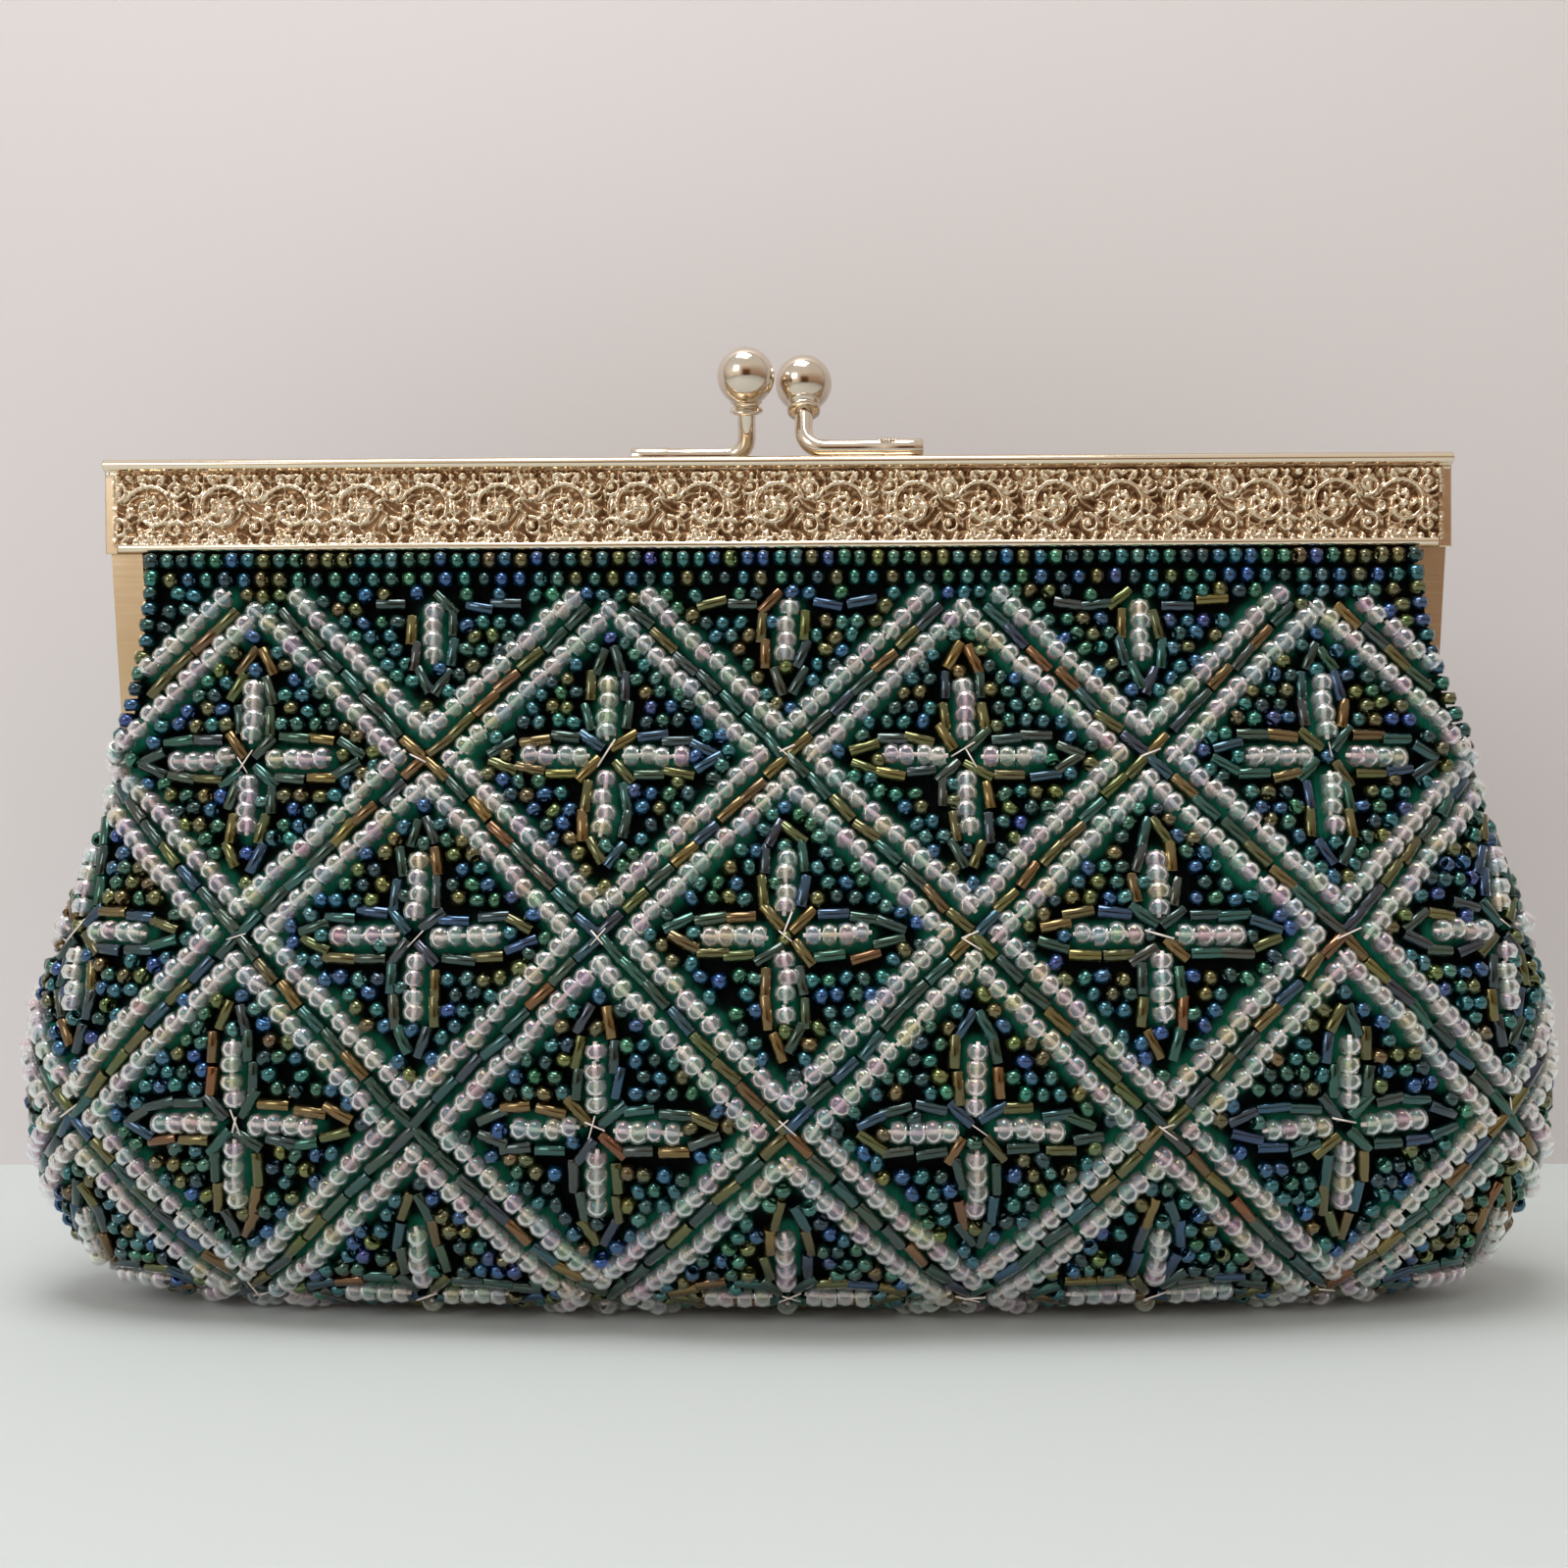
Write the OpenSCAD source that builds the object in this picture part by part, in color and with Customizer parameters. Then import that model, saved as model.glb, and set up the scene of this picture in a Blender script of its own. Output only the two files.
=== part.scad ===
// Kiss lock frame purse: a beaded evening clutch in a hinged metal frame.
// The origin is the centre of the base. X runs along the frame, the front faces -Y, Z is up.
// The purse is drawn closed. Both frame halves swing on one axis through the two hinge rivets.

/* [Frame] */
// Overall width of the frame across its top bar
frame_w = 190; // [150:1:240]
// Height of the frame's top above the surface the purse stands on
frame_top_z = 120; // [112:1:150]
// Height of the hinge axis above the surface the purse stands on
hinge_z = 73; // [66:1:80]
// Lean of each side arm, inwards towards the hinge
arm_lean = 3.2; // [0:0.1:6]
// Height of the top bar's front face
bar_h = 13.3; // [10:0.1:20]
// Height of the top bar's short inner flange
bar_lip_h = 8; // [6:0.1:9.5]
// Width of the arms' front faces
arm_face = 4.4; // [4:0.1:6]
// Width of the arms' inner flanges
arm_lip = 3.6; // [3:0.1:4.4]
// Depth of one frame half, front to back
half_depth = 5; // [4.6:0.1:7]
// Thickness of the frame's sheet metal
sheet = 0.7; // [0.5:0.05:0.9]
// Gap between the two closed halves
mid_gap = 0.3; // [0.2:0.05:0.6]
// Radius of the frame's top corners
corner_r = 1.6; // [0.6:0.1:3]

/* [Embossed band] */
// Thickness of the band's sheet
band_sheet = 0.5; // [0.4:0.05:0.8]
// Diameter of the half-round bead along the band's top edge
top_bead_d = 1.9; // [1.2:0.1:2.4]
// Diameter of the half-round bead along the band's lower edge
low_bead_d = 1.5; // [1:0.1:2]
// Length that the lower bead stops short of the band's ends
low_bead_stop = 1.6; // [0.5:0.1:4]
// Width of one repeat of the relief, which holds two rosettes
repeat_w = 19.6; // [16:0.1:26]
// Outer diameter of a rosette's ring
rosette_d = 6.4; // [5:0.1:7.2]
// Thickness of the raised scroll lines
scroll_t = 0.8; // [0.5:0.05:1.1]
// Diameter of a rosette's domed heart
heart_d = 2.2; // [1.6:0.1:3]
// Diameter of the domes along the relief's upper edge
edge_dome_d = 1.3; // [0.9:0.1:1.7]

/* [Hinges] */
// Radius of the round ears at the ends of the arms
ear_r = 3.4; // [3:0.1:4]
// Thickness of an ear
ear_t = 0.9; // [0.7:0.05:1.1]
// Gap between an inner and an outer ear
ear_gap = 0.3; // [0.2:0.05:0.5]
// Height of the strap that joins an ear to its arm
ear_strap_h = 12; // [9:0.5:14]
// Diameter of a rivet's shank
rivet_d = 2.4; // [1.6:0.1:3]
// Radial clearance of the rivet in the ears
rivet_fit = 0.05; // [0.02:0.01:0.1]
// Diameter of a rivet's heads
rivet_head_d = 4.2; // [3.4:0.1:4.6]
// Thickness of a rivet's heads
rivet_head_t = 0.7; // [0.5:0.05:1]
// Gap between a rivet's head and the ear beside it
rivet_play = 0.1; // [0.05:0.01:0.2]

/* [Kiss lock] */
// Diameter of the two clasp balls
ball_d = 8.2; // [6:0.1:12]
// Gap between the two balls as they pass
ball_gap = 0.06; // [0.04:0.01:0.3]
// Diameter of the posts' wire
wire_d = 2.4; // [1.8:0.1:3]
// Height of the balls' centres above the frame's top
ball_rise = 12; // [9.5:0.1:16]
// Distance that each ball leans past the middle plane
ball_cross = 2.2; // [1:0.1:3]
// Bend radius of the posts, to the wire's centre
post_bend_r = 3; // [2.4:0.1:4]
// Length of the straight foot that lies on the frame
foot_l = 14; // [8:0.5:22]
// Depth of the flat under each foot
foot_flat = 0.25; // [0.1:0.05:0.5]
// Diameter of the collar under each ball
collar_d = 4.6; // [3.6:0.1:5.6]
// Height of the collar
collar_h = 1.4; // [0.8:0.1:2]

/* [Pouch] */
// Width of the flat base
base_w = 174; // [120:1:200]
// Depth of the flat base, front to back
base_d = 18; // [12:1:30]
// Widest width of the pouch, over its largest beads
belly_w = 218; // [200:1:240]
// Deepest depth of the pouch, over its largest beads
belly_d = 49; // [36:1:60]
// Height of the widest level
belly_z = 31; // [22:1:40]
// How far the pouch's rim, over its largest beads, stands out past each arm at the hinge
rim_stand = 6.0277; // [4:0.0001:16]
// Depth of the pouch's opening at its rim, inside the lining
rim_inner_d = 23.8; // [23.8:0.2:36]
// Dip of the rim at the sides, below the hinge axis
rim_dip = 2.5; // [2:0.1:5]
// Thickness of the outer fabric between the raised lines of beads
beaded_t = 0.8; // [0.6:0.1:1.6]
// Thickness of the interlining
interlining_t = 0.6; // [0.4:0.1:1]
// Thickness of the lining
lining_t = 0.4; // [0.3:0.1:0.6]

/* [Bead trellis] */
// Width of one diamond of the trellis
diamond_w = 49.4; // [36:0.2:60]
// Height of one diamond of the trellis
diamond_h = 48.7; // [36:0.1:60]
// Distance from the top bar down to the middles of the uppermost flowers
flower_drop = 4.9; // [0:0.1:12]
// Height of the trellis's lines of crystals above the fabric between them
trellis_rise = 2.2; // [0.5:0.1:3]
// Height of the flowers in the diamonds above the fabric round them
flower_rise = 1.8; // [0.5:0.1:3]

/* [Yokes] */
// Depth from the middle plane to a yoke's outer face at its lower edge, over its largest beads
yoke_low_d = 11; // [9:0.1:11]
// Depth from the middle plane to a yoke's outer face beside the frame
yoke_edge_d = 5.3; // [5.1:0.1:6]
// Gap between the beads and the metal beside them
bead_gap = 0.3; // [0.2:0.05:0.6]
// Thickness of the bare fabric edge that is tucked into the frame
tuck_t = 0.8; // [0.5:0.05:1]
// Clearance between the tucked edge and the bottom of the frame's channel
tuck_gap = 0.4; // [0.2:0.05:0.8]
// Diameter of the paper cord that wedges the fabric in the frame
cord_d = 1.9; // [1.4:0.05:1.9]
// Bend radius of the paper cord in the frame's corners, to its centre
cord_bend_r = 3; // [2:0.1:5]

/* [Hidden] */
$fn = 48;

// Depth of the middle plane's side of each half
inner_y = mid_gap / 2;
// Height of the top bar's lower edge
bar_low_z = frame_top_z - bar_h;
// Outer half width of the frame at height z
function arm_x(z) = frame_w / 2 - (frame_top_z - z) * tan(arm_lean);

// Ears: the outer pair belongs to the front half, the inner pair to the rear half
outer_ear_x = arm_x(hinge_z) - ear_t + 0.1;
inner_ear_x = outer_ear_x - ear_gap - ear_t;
// Radius of the hollow that each arm leaves round the hinge
hinge_hollow_r = ear_r + ear_gap;

// Wire posts
foot_axis_z = wire_d / 2 - foot_flat;
ball_x = (ball_d + ball_gap) / 2;
post_y = half_depth / 2 + inner_y;
post_reach = norm([post_y + ball_cross, ball_rise - foot_axis_z]);
post_lean = atan((post_y + ball_cross) / (ball_rise - foot_axis_z));
// Length of wire inside the ball, and the ball's centre to its collar
post_in_ball = ball_d * 0.7;
collar_top = sqrt(pow(ball_d / 2, 2) - pow(collar_d / 2, 2)) - 0.2;

// Layers of fabric, measured in from the largest beads' outer face
outer_t = beaded_t + trellis_rise;
layer = [0, outer_t, outer_t + interlining_t, outer_t + interlining_t + lining_t];
wall_t = layer[3];
rim_d = rim_inner_d + 2 * wall_t;
// Corner exponents of the pouch's level sections, from soft at the base to squarish at the rim
base_n = 2.4;
rim_n = 4;
// Width of the pouch at its rim, over its largest beads: it follows the frame that holds it
rim_w = 2 * (arm_x(hinge_z) + rim_stand);
// How fast the pouch widens from its rim down to its belly
rim_taper = 1.6;

// Steps of the trellis's grid: eight across a diamond and eight up it
step_x = diamond_w / 8;
step_z = diamond_h / 8;
// Level of the middles of the uppermost flowers
flower_z = bar_low_z - flower_drop;
// Level of the trellis's row j, counted down from the uppermost flowers
function row_z(j) = flower_z - j * step_z;
// Columns at whole steps on each side of the pouch's middle, then closer ones round to the seam
mid_cols = 12;
end_cols = 6;
half_cols = mid_cols + end_cols;
// Largest share of a row's half width that the whole steps take up
mid_share = 0.8;
// Lowest level of the trellis on the pouch, and its least distance below the rim
trellis_low_z = 8;
rim_clear = 4;
// Rows of the trellis on the pouch, from the lowest up
pouch_rows = [
    for (j = [60:-1:-20])
        if (row_z(j) > trellis_low_z && row_z(j) < hinge_z - rim_clear) j
];
low_level = row_z(pouch_rows[0]);
// Levels of the pouch's grid: the curve up from the base, the trellis's rows and the rim
pouch_levels = [
    0, low_level * 0.17, low_level * 0.52,
    for (j = pouch_rows) row_z(j),
    hinge_z
];
top_row = len(pouch_levels) - 1;
// Every column and row for the beaded panels, fewer for the layers inside them
all_cols = [for (i = [half_cols:-1:-half_cols]) i];
few_cols = [for (i = all_cols) if (abs(i) >= mid_cols || i % 2 == 0) i];
all_rows = [for (r = [0:top_row]) r];
few_rows = [for (r = all_rows) if (r < 3 || (top_row - r) % 2 == 0) r];

// Yoke layers inside the frame's channel, measured in from the tucked edge's outer face
tuck_share = [0, 1, 1.4, 1.75];
tuck_y = half_depth - sheet - 0.1;
// Level below which the tucked edge stays narrow, clear of the ears
tuck_start_z = hinge_z + ear_strap_h + 1;
// Level at which the tucked edge has its full width
tuck_full_z = tuck_start_z + 2;
// How fast the yoke narrows towards the frame
yoke_taper = 2.4;
// Top of the yoke's beaded part
bead_top_z = bar_low_z - bead_gap;
// Least distance from the yoke's lower edge and its top to a row of the trellis
yoke_clear = 3;
// Rows of the trellis on a yoke, from the lowest up
yoke_rows = [
    for (j = [20:-1:-8])
        if (row_z(j) > hinge_z + yoke_clear && row_z(j) < bead_top_z - yoke_clear) j
];
// Levels of a yoke's grid: its lower edge, the trellis's rows, the bar's edge and the tucked edge
yoke_levels = [
    hinge_z,
    for (j = yoke_rows) row_z(j),
    bead_top_z,
    bead_top_z + 0.05,
    frame_top_z - sheet - tuck_gap
];
// Columns at whole steps on each side of a yoke's middle, and the largest share they take up
yoke_cols = 13;
yoke_share = 0.92;

// Sheet parallel to the frame's face, from depth y_near to y_far in front of the middle plane
module face_slab(y_near, y_far) {
    translate([0, -y_near, 0])
        rotate([90, 0, 0])
            linear_extrude(y_far - y_near)
                children();
}

// Points of a quarter circle about c
function quarter(c, r, from) = [for (i = [0:4]) c + r * [cos(from + i * 22.5), sin(from + i * 22.5)]];

// Outline of the whole frame, inset by m, open below the hinge axis
module frame_outline(m) {
    low = hinge_z;
    top = frame_top_z - m;
    r = max(corner_r - m, 0.3);
    side = arm_x(frame_top_z - r) - m;
    polygon([
        [arm_x(low) - m, low],
        each quarter([side - r, top - r], r, 0),
        each quarter([-side + r, top - r], r, 90),
        [-arm_x(low) + m, low]
    ]);
}

// Opening inside the arms and below the bar
module frame_opening(arm_w, bar_w) {
    low = hinge_z - 1;
    high = frame_top_z - bar_w;
    polygon([
        [arm_x(low) - arm_w, low],
        [arm_x(high) - arm_w, high],
        [-arm_x(high) + arm_w, high],
        [-arm_x(low) + arm_w, low]
    ]);
}

// Round plate or hole on the hinge axis, from x0 to x0 + t
module hinge_disc(x0, r, t) {
    translate([x0, 0, hinge_z])
        rotate([0, 90, 0])
            cylinder(h = t, r = r);
}

// Ear with the strap that carries it down from its arm
module ear(x0) {
    difference() {
        union() {
            hinge_disc(x0, ear_r, ear_t);
            translate([x0, -half_depth, hinge_z])
                cube([ear_t, half_depth - inner_y, ear_strap_h]);
        }
        hinge_disc(x0 - 1, rivet_d / 2 + rivet_fit, ear_t + 2);
    }
}

// One half of the frame: a folded channel along the bar and both arms, and two ears
module frame_half(ear_x) {
    difference() {
        union() {
            face_slab(half_depth - sheet, half_depth)
                difference() {
                    frame_outline(0);
                    frame_opening(arm_face, bar_h);
                }
            face_slab(inner_y, half_depth)
                difference() {
                    frame_outline(0);
                    intersection() {
                        frame_outline(sheet);
                        frame_opening(sheet, sheet);
                    }
                    frame_opening(sheet, bar_h);
                }
            face_slab(inner_y, inner_y + sheet)
                difference() {
                    frame_outline(0);
                    frame_opening(arm_lip, bar_lip_h);
                }
        }
        hinge_disc(-frame_w, hinge_hollow_r, 2 * frame_w);
    }
    ear(ear_x);
    mirror([1, 0, 0])
        ear(ear_x);
}

module front_frame() {
    color("#c7b08c")
        frame_half(outer_ear_x);
}

module rear_frame() {
    color("#c7b08c")
        mirror([0, 1, 0])
            frame_half(inner_ear_x);
}

// Half-round bead along X, raised from the band's face
module long_bead(d, half_l, z) {
    translate([-half_l, -half_depth - band_sheet, z])
        rotate([0, 90, 0])
            cylinder(h = 2 * half_l, r = d / 2);
}

// Raised ring or dome on the band's face
module face_ring(outer_d, t, angle = 360) {
    rotate([90, 0, 0])
        rotate_extrude(angle = angle)
            translate([outer_d / 2 - t / 2, 0])
                circle(d = t, $fn = 20);
}

// One rosette: a ring round a domed heart
module rosette() {
    face_ring(rosette_d, scroll_t);
    sphere(d = heart_d, $fn = 32);
}

// Band pressed from thin sheet: beads along both edges with a repeating relief between them
module embossed_band() {
    relief_top = frame_top_z - top_bead_d - edge_dome_d / 2;
    relief_low = bar_low_z + low_bead_d;
    rosette_z = (relief_top + relief_low) / 2 - edge_dome_d / 4;
    rosette_gap = repeat_w / 2;
    count = floor((frame_w - rosette_d - 2 * low_bead_stop) / rosette_gap / 2);
    face_y = -half_depth - band_sheet;
    difference() {
        union() {
            face_slab(half_depth, half_depth + band_sheet)
                intersection() {
                    frame_outline(0);
                    translate([-frame_w / 2, bar_low_z])
                        square([frame_w, bar_h]);
                }
            long_bead(top_bead_d, frame_w / 2 - corner_r, frame_top_z - top_bead_d / 2);
            long_bead(low_bead_d, arm_x(bar_low_z) - low_bead_stop, bar_low_z + low_bead_d / 2);
            for (i = [-count:count])
                translate([i * rosette_gap, face_y, rosette_z])
                    rosette();
            for (i = [-2 * count:2 * count])
                translate([(i + 0.5) * rosette_gap / 2, face_y, relief_top])
                    sphere(d = edge_dome_d, $fn = 24);
        }
        translate([-frame_w, -half_depth, 0])
            cube([2 * frame_w, half_depth, 2 * frame_top_z]);
    }
}

module front_embossed_band() {
    color("#d2b894")
        embossed_band();
}

module rear_embossed_band() {
    color("#d2b894")
        mirror([0, 1, 0])
            embossed_band();
}

// Rivet through both ears of one side, with a low head at each end
module hinge_rivet() {
    inner_face = inner_ear_x - rivet_play;
    outer_face = outer_ear_x + ear_t + rivet_play;
    hinge_disc(inner_face - rivet_head_t, rivet_d / 2, outer_face - inner_face + 2 * rivet_head_t);
    hinge_disc(inner_face - rivet_head_t, rivet_head_d / 2, rivet_head_t);
    hinge_disc(outer_face, rivet_head_d / 2, rivet_head_t);
}

module left_hinge_rivet() {
    color("#a99a80")
        mirror([1, 0, 0])
            hinge_rivet();
}

module right_hinge_rivet() {
    color("#a99a80")
        hinge_rivet();
}

// Places a lock piece of the front half: foot axis on X, post leaning back over the middle plane
module front_lock_place() {
    translate([ball_x, -post_y, frame_top_z + foot_axis_z])
        rotate([-post_lean, 0, 0])
            children();
}

// The same for the rear half, on the other side of the middle
module rear_lock_place() {
    rotate([0, 0, 180])
        front_lock_place()
            children();
}

// Flat that each foot stands on, level with the frame's top
module under_foot() {
    translate([-frame_w, -frame_w, 0])
        cube([2 * frame_w, 2 * frame_w, frame_top_z]);
}

// Wire post: a foot along X, a quarter bend and a straight shank up into the ball
module wire_post() {
    translate([post_bend_r, 0, 0])
        rotate([0, 90, 0])
            cylinder(h = foot_l, r = wire_d / 2);
    translate([post_bend_r, 0, post_bend_r])
        rotate([90, 0, 0])
            rotate([0, 0, 180])
                rotate_extrude(angle = 90)
                    translate([post_bend_r, 0])
                        circle(r = wire_d / 2);
    translate([0, 0, post_bend_r])
        cylinder(h = post_reach - post_bend_r - ball_d / 2 + post_in_ball, r = wire_d / 2);
}

module front_lock_post() {
    color("#d8cfc0")
        difference() {
            front_lock_place()
                wire_post();
            under_foot();
        }
}

module rear_lock_post() {
    color("#d8cfc0")
        difference() {
            rear_lock_place()
                wire_post();
            under_foot();
        }
}

// Turned collar that seats the ball on its post
module collar() {
    difference() {
        translate([0, 0, post_reach - collar_top - collar_h])
            cylinder(h = collar_h, r = collar_d / 2);
        translate([0, 0, post_reach])
            sphere(d = ball_d);
        cylinder(h = post_reach, r = wire_d / 2);
    }
}

module front_lock_collar() {
    color("#d8cfc0")
        front_lock_place()
            collar();
}

module rear_lock_collar() {
    color("#d8cfc0")
        rear_lock_place()
            collar();
}

// Ball with the blind hole that takes the post
module ball() {
    difference() {
        translate([0, 0, post_reach])
            sphere(d = ball_d, $fn = 96);
        cylinder(h = post_reach - ball_d / 2 + post_in_ball, r = wire_d / 2);
    }
}

module front_lock_ball() {
    color("#d8cfc0")
        front_lock_place()
            ball();
}

module rear_lock_ball() {
    color("#d8cfc0")
        rear_lock_place()
            ball();
}

// Paper cord pushed into the channel behind the fabric, down both arms and along the bar
module paper_cord() {
    inset = sheet + 0.15 + cord_d / 2;
    top = frame_top_z - inset;
    bend_end_z = top - cord_bend_r * (1 + sin(arm_lean));
    bend_x = arm_x(bend_end_z) - inset - cord_bend_r * cos(arm_lean);
    run = (bend_end_z - hinge_z - ear_strap_h - 1) / cos(arm_lean);
    translate([0, -(inner_y + sheet + cord_d / 2 + 0.02), 0]) {
        translate([-bend_x, 0, top])
            rotate([0, 90, 0])
                cylinder(h = 2 * bend_x, r = cord_d / 2, $fn = 24);
        for (side = [0, 1])
            mirror([side, 0, 0])
                translate([bend_x, 0, top - cord_bend_r])
                    rotate([90, arm_lean, 0]) {
                        rotate_extrude(angle = 90 + arm_lean)
                            translate([cord_bend_r, 0])
                                circle(r = cord_d / 2, $fn = 24);
                        translate([cord_bend_r, 0, 0])
                            rotate([90, 0, 0])
                                cylinder(h = run, r = cord_d / 2, $fn = 24);
                    }
    }
}

module front_paper_cord() {
    color("#b9a27c")
        paper_cord();
}

module rear_paper_cord() {
    color("#b9a27c")
        mirror([0, 1, 0])
            paper_cord();
}

// Two triangles of a grid cell, split from a to c
function cell(a, b, c, d) = [[a, b, c], [a, c, d]];

// The cell of grid row r and column c, split along its higher diagonal
function ridge_cell(lift, r, c, a, b, d, e) =
    lift[r][c] + lift[r + 1][c + 1] >= lift[r][c + 1] + lift[r + 1][c]
        ? cell(a, b, d, e)
        : cell(b, d, e, a);

// Closed shell between two grids of points of equal size, the outer one seen from outside
module shell(outer, inner, lift) {
    rows = len(outer) - 1;
    cols = len(outer[0]) - 1;
    per_row = cols + 1;
    offset_in = (rows + 1) * per_row;
    points = [
        for (row = outer) each row,
        for (row = inner) each row
    ];
    faces = [
        for (r = [0:rows - 1], c = [0:cols - 1])
            let (o = r * per_row + c, i = o + offset_in)
                each [
                    each ridge_cell(lift, r, c, o, o + 1, o + per_row + 1, o + per_row),
                    each cell(i, i + per_row, i + per_row + 1, i + 1)
                ],
        for (c = [0:cols - 1])
            let (low = c, top = rows * per_row + c)
                each [
                    each cell(low + 1, low, low + offset_in, low + offset_in + 1),
                    each cell(top, top + 1, top + offset_in + 1, top + offset_in)
                ],
        for (r = [0:rows - 1])
            let (near = r * per_row, far = near + cols)
                each [
                    each cell(near, near + per_row, near + per_row + offset_in, near + offset_in),
                    each cell(far + per_row, far, far + offset_in, far + per_row + offset_in)
                ]
    ];
    polyhedron(points, faces);
}

// Closed half bag between two grids, with flat floors and a flat seam in the middle plane
module half_bag_shell(outer, inner, lift) {
    rows = len(outer) - 1;
    cols = len(outer[0]) - 1;
    per_row = cols + 1;
    offset_in = (rows + 1) * per_row;
    points = [
        for (row = outer) each row,
        for (row = inner) each row
    ];
    faces = [
        [for (c = [cols:-1:0]) c],
        [for (c = [0:cols]) c + offset_in],
        each cell(0, offset_in, offset_in + cols, cols),
        for (r = [0:rows - 1])
            let (near = r * per_row, far = near + cols)
                each [
                    each cell(near, near + per_row, near + per_row + offset_in, near + offset_in),
                    each cell(far + per_row, far, far + offset_in, far + per_row + offset_in)
                ],
        for (r = [0:rows - 1], c = [0:cols - 1])
            let (o = r * per_row + c, i = o + offset_in)
                each [
                    each ridge_cell(lift, r, c, o, o + 1, o + per_row + 1, o + per_row),
                    each cell(i, i + per_row, i + per_row + 1, i + 1)
                ],
        for (c = [0:cols - 1])
            let (top = rows * per_row + c)
                each cell(top, top + 1, top + offset_in + 1, top + offset_in)
    ];
    polyhedron(points, faces);
}

// Closed bag between two grids that run all the way round, with flat floors
module bag_shell(outer, inner) {
    rows = len(outer) - 1;
    per_row = len(outer[0]);
    offset_in = (rows + 1) * per_row;
    points = [
        for (row = outer) each row,
        for (row = inner) each row
    ];
    faces = [
        [for (c = [per_row - 1:-1:0]) c],
        [for (c = [0:per_row - 1]) c + offset_in],
        for (r = [0:rows - 1], c = [0:per_row - 1])
            let (
                next = (c + 1) % per_row,
                o = r * per_row,
                i = o + offset_in
            )
                each [
                    each cell(o + c, o + next, o + per_row + next, o + per_row + c),
                    each cell(i + c, i + per_row + c, i + per_row + next, i + next)
                ],
        for (c = [0:per_row - 1])
            let (next = (c + 1) % per_row, top = rows * per_row)
                each cell(top + c, top + next, top + next + offset_in, top + c + offset_in)
    ];
    polyhedron(points, faces);
}

// Steps from k to the nearest multiple of eight
function off_eight(k) = let (rest = abs(k) % 8) min(rest, 8 - rest);

// Height of the beads at column i and row j of the trellis, as a share of the trellis's rise
function trellis_lift(i, j) =
    let (steps = max(off_eight(i + j), off_eight(i - j)))
        steps == 4 ? 1 : steps < 2 ? flower_rise / trellis_rise : 0;

// Lift of column i in the pouch's row r: full along the base and the seams, none along the rim
function pouch_lift(r, i) =
    r == top_row ? 0 : r < 3 || abs(i) == half_cols ? 1 : trellis_lift(i, pouch_rows[r - 3]);

// Lifts of the whole front of the pouch
pouch_lifts = [for (r = all_rows) [for (i = all_cols) pouch_lift(r, i)]];

// Share of the way from the belly up to the rim at level u
function rise(u) = max((u - belly_z) / (hinge_z - belly_z), 0);

// Level of the surface m inside the outer face, where the outer face is at level u
function pouch_z(u, m) = u < belly_z ? belly_z - (belly_z - m) * (1 - u / belly_z) : u;

// Half width or half depth at level u, from its values at the base, the belly and the rim
function pouch_half(u, m, at_base, at_belly, at_rim) =
    u < belly_z
        ? at_base + (at_belly - m - at_base) * sin(acos(1 - u / belly_z))
        : at_belly - m - (at_belly - at_rim) * pow(rise(u), rim_taper);

// Half width of column i where the row's half width is w and its corner exponent is n
function pouch_x(i, w, n) =
    let (
        mid = min(mid_cols * step_x, mid_share * w),
        turn = acos(pow(mid / w, n / 2)),
        x = abs(i) > mid_cols
            ? w * pow(cos(turn * (half_cols - abs(i)) / end_cols), 2 / n)
            : mid * abs(i) / mid_cols
    )
        x * sign(i);

// Point of the pouch's front at level u and column i, m inside its outer face
function pouch_point(u, i, m) =
    let (
        n = base_n + (rim_n - base_n) * u / hinge_z,
        w = pouch_half(u, m, base_w / 2, belly_w / 2, rim_w / 2),
        d = pouch_half(u, m, base_d / 2, belly_d / 2, rim_d / 2),
        x = pouch_x(i, w, n),
        y = abs(i) == half_cols ? 0 : -d * pow(1 - pow(abs(x) / w, n), 1 / n),
        dip = rim_dip * pow(abs(x) / w, 2 * n) * pow(rise(u), 4)
    )
        [x, y, pouch_z(u, m) - dip];

// The front's beaded face, raised along the trellis and at the flowers
pouch_beads = [
    for (r = all_rows)
        [for (i = all_cols) pouch_point(pouch_levels[r], i, trellis_rise * (1 - pouch_lift(r, i)))]
];

// Front half of the surface m inside the outer face, from the base up to the rim
function pouch_front(m) = [
    for (r = all_rows)
        [for (i = all_cols) pouch_point(pouch_levels[r], i, m)]
];

// The surface m inside the outer face, all the way round
function pouch_round(m) = [
    for (r = few_rows)
        let (front = [for (i = few_cols) pouch_point(pouch_levels[r], i, m)])
            [
                each front,
                for (c = [len(front) - 2:-1:1]) [front[c][0], -front[c][1], front[c][2]]
            ]
];

module pouch_front_panel() {
    color("#22403c")
        half_bag_shell(pouch_beads, pouch_front(layer[1]), pouch_lifts);
}

module pouch_rear_panel() {
    color("#22403c")
        rotate([0, 0, 180])
            half_bag_shell(pouch_beads, pouch_front(layer[1]), pouch_lifts);
}

module pouch_interlining() {
    color("#c9c4b8")
        bag_shell(pouch_round(layer[1]), pouch_round(layer[2]));
}

module pouch_lining() {
    color("#1c1c22")
        bag_shell(pouch_round(layer[2]), pouch_round(layer[3]));
}

// Half width of the yoke's tucked edge at height z, narrow beside the ears
function tuck_x(z) =
    let (
        full = arm_x(z) - sheet - tuck_gap,
        narrow = min(inner_ear_x - rivet_head_t - rivet_play - 0.3, arm_x(z) - arm_face + 1.6),
        share = min(max((z - tuck_start_z) / (tuck_full_z - tuck_start_z), 0), 1)
    )
        narrow + (full - narrow) * share;

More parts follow.
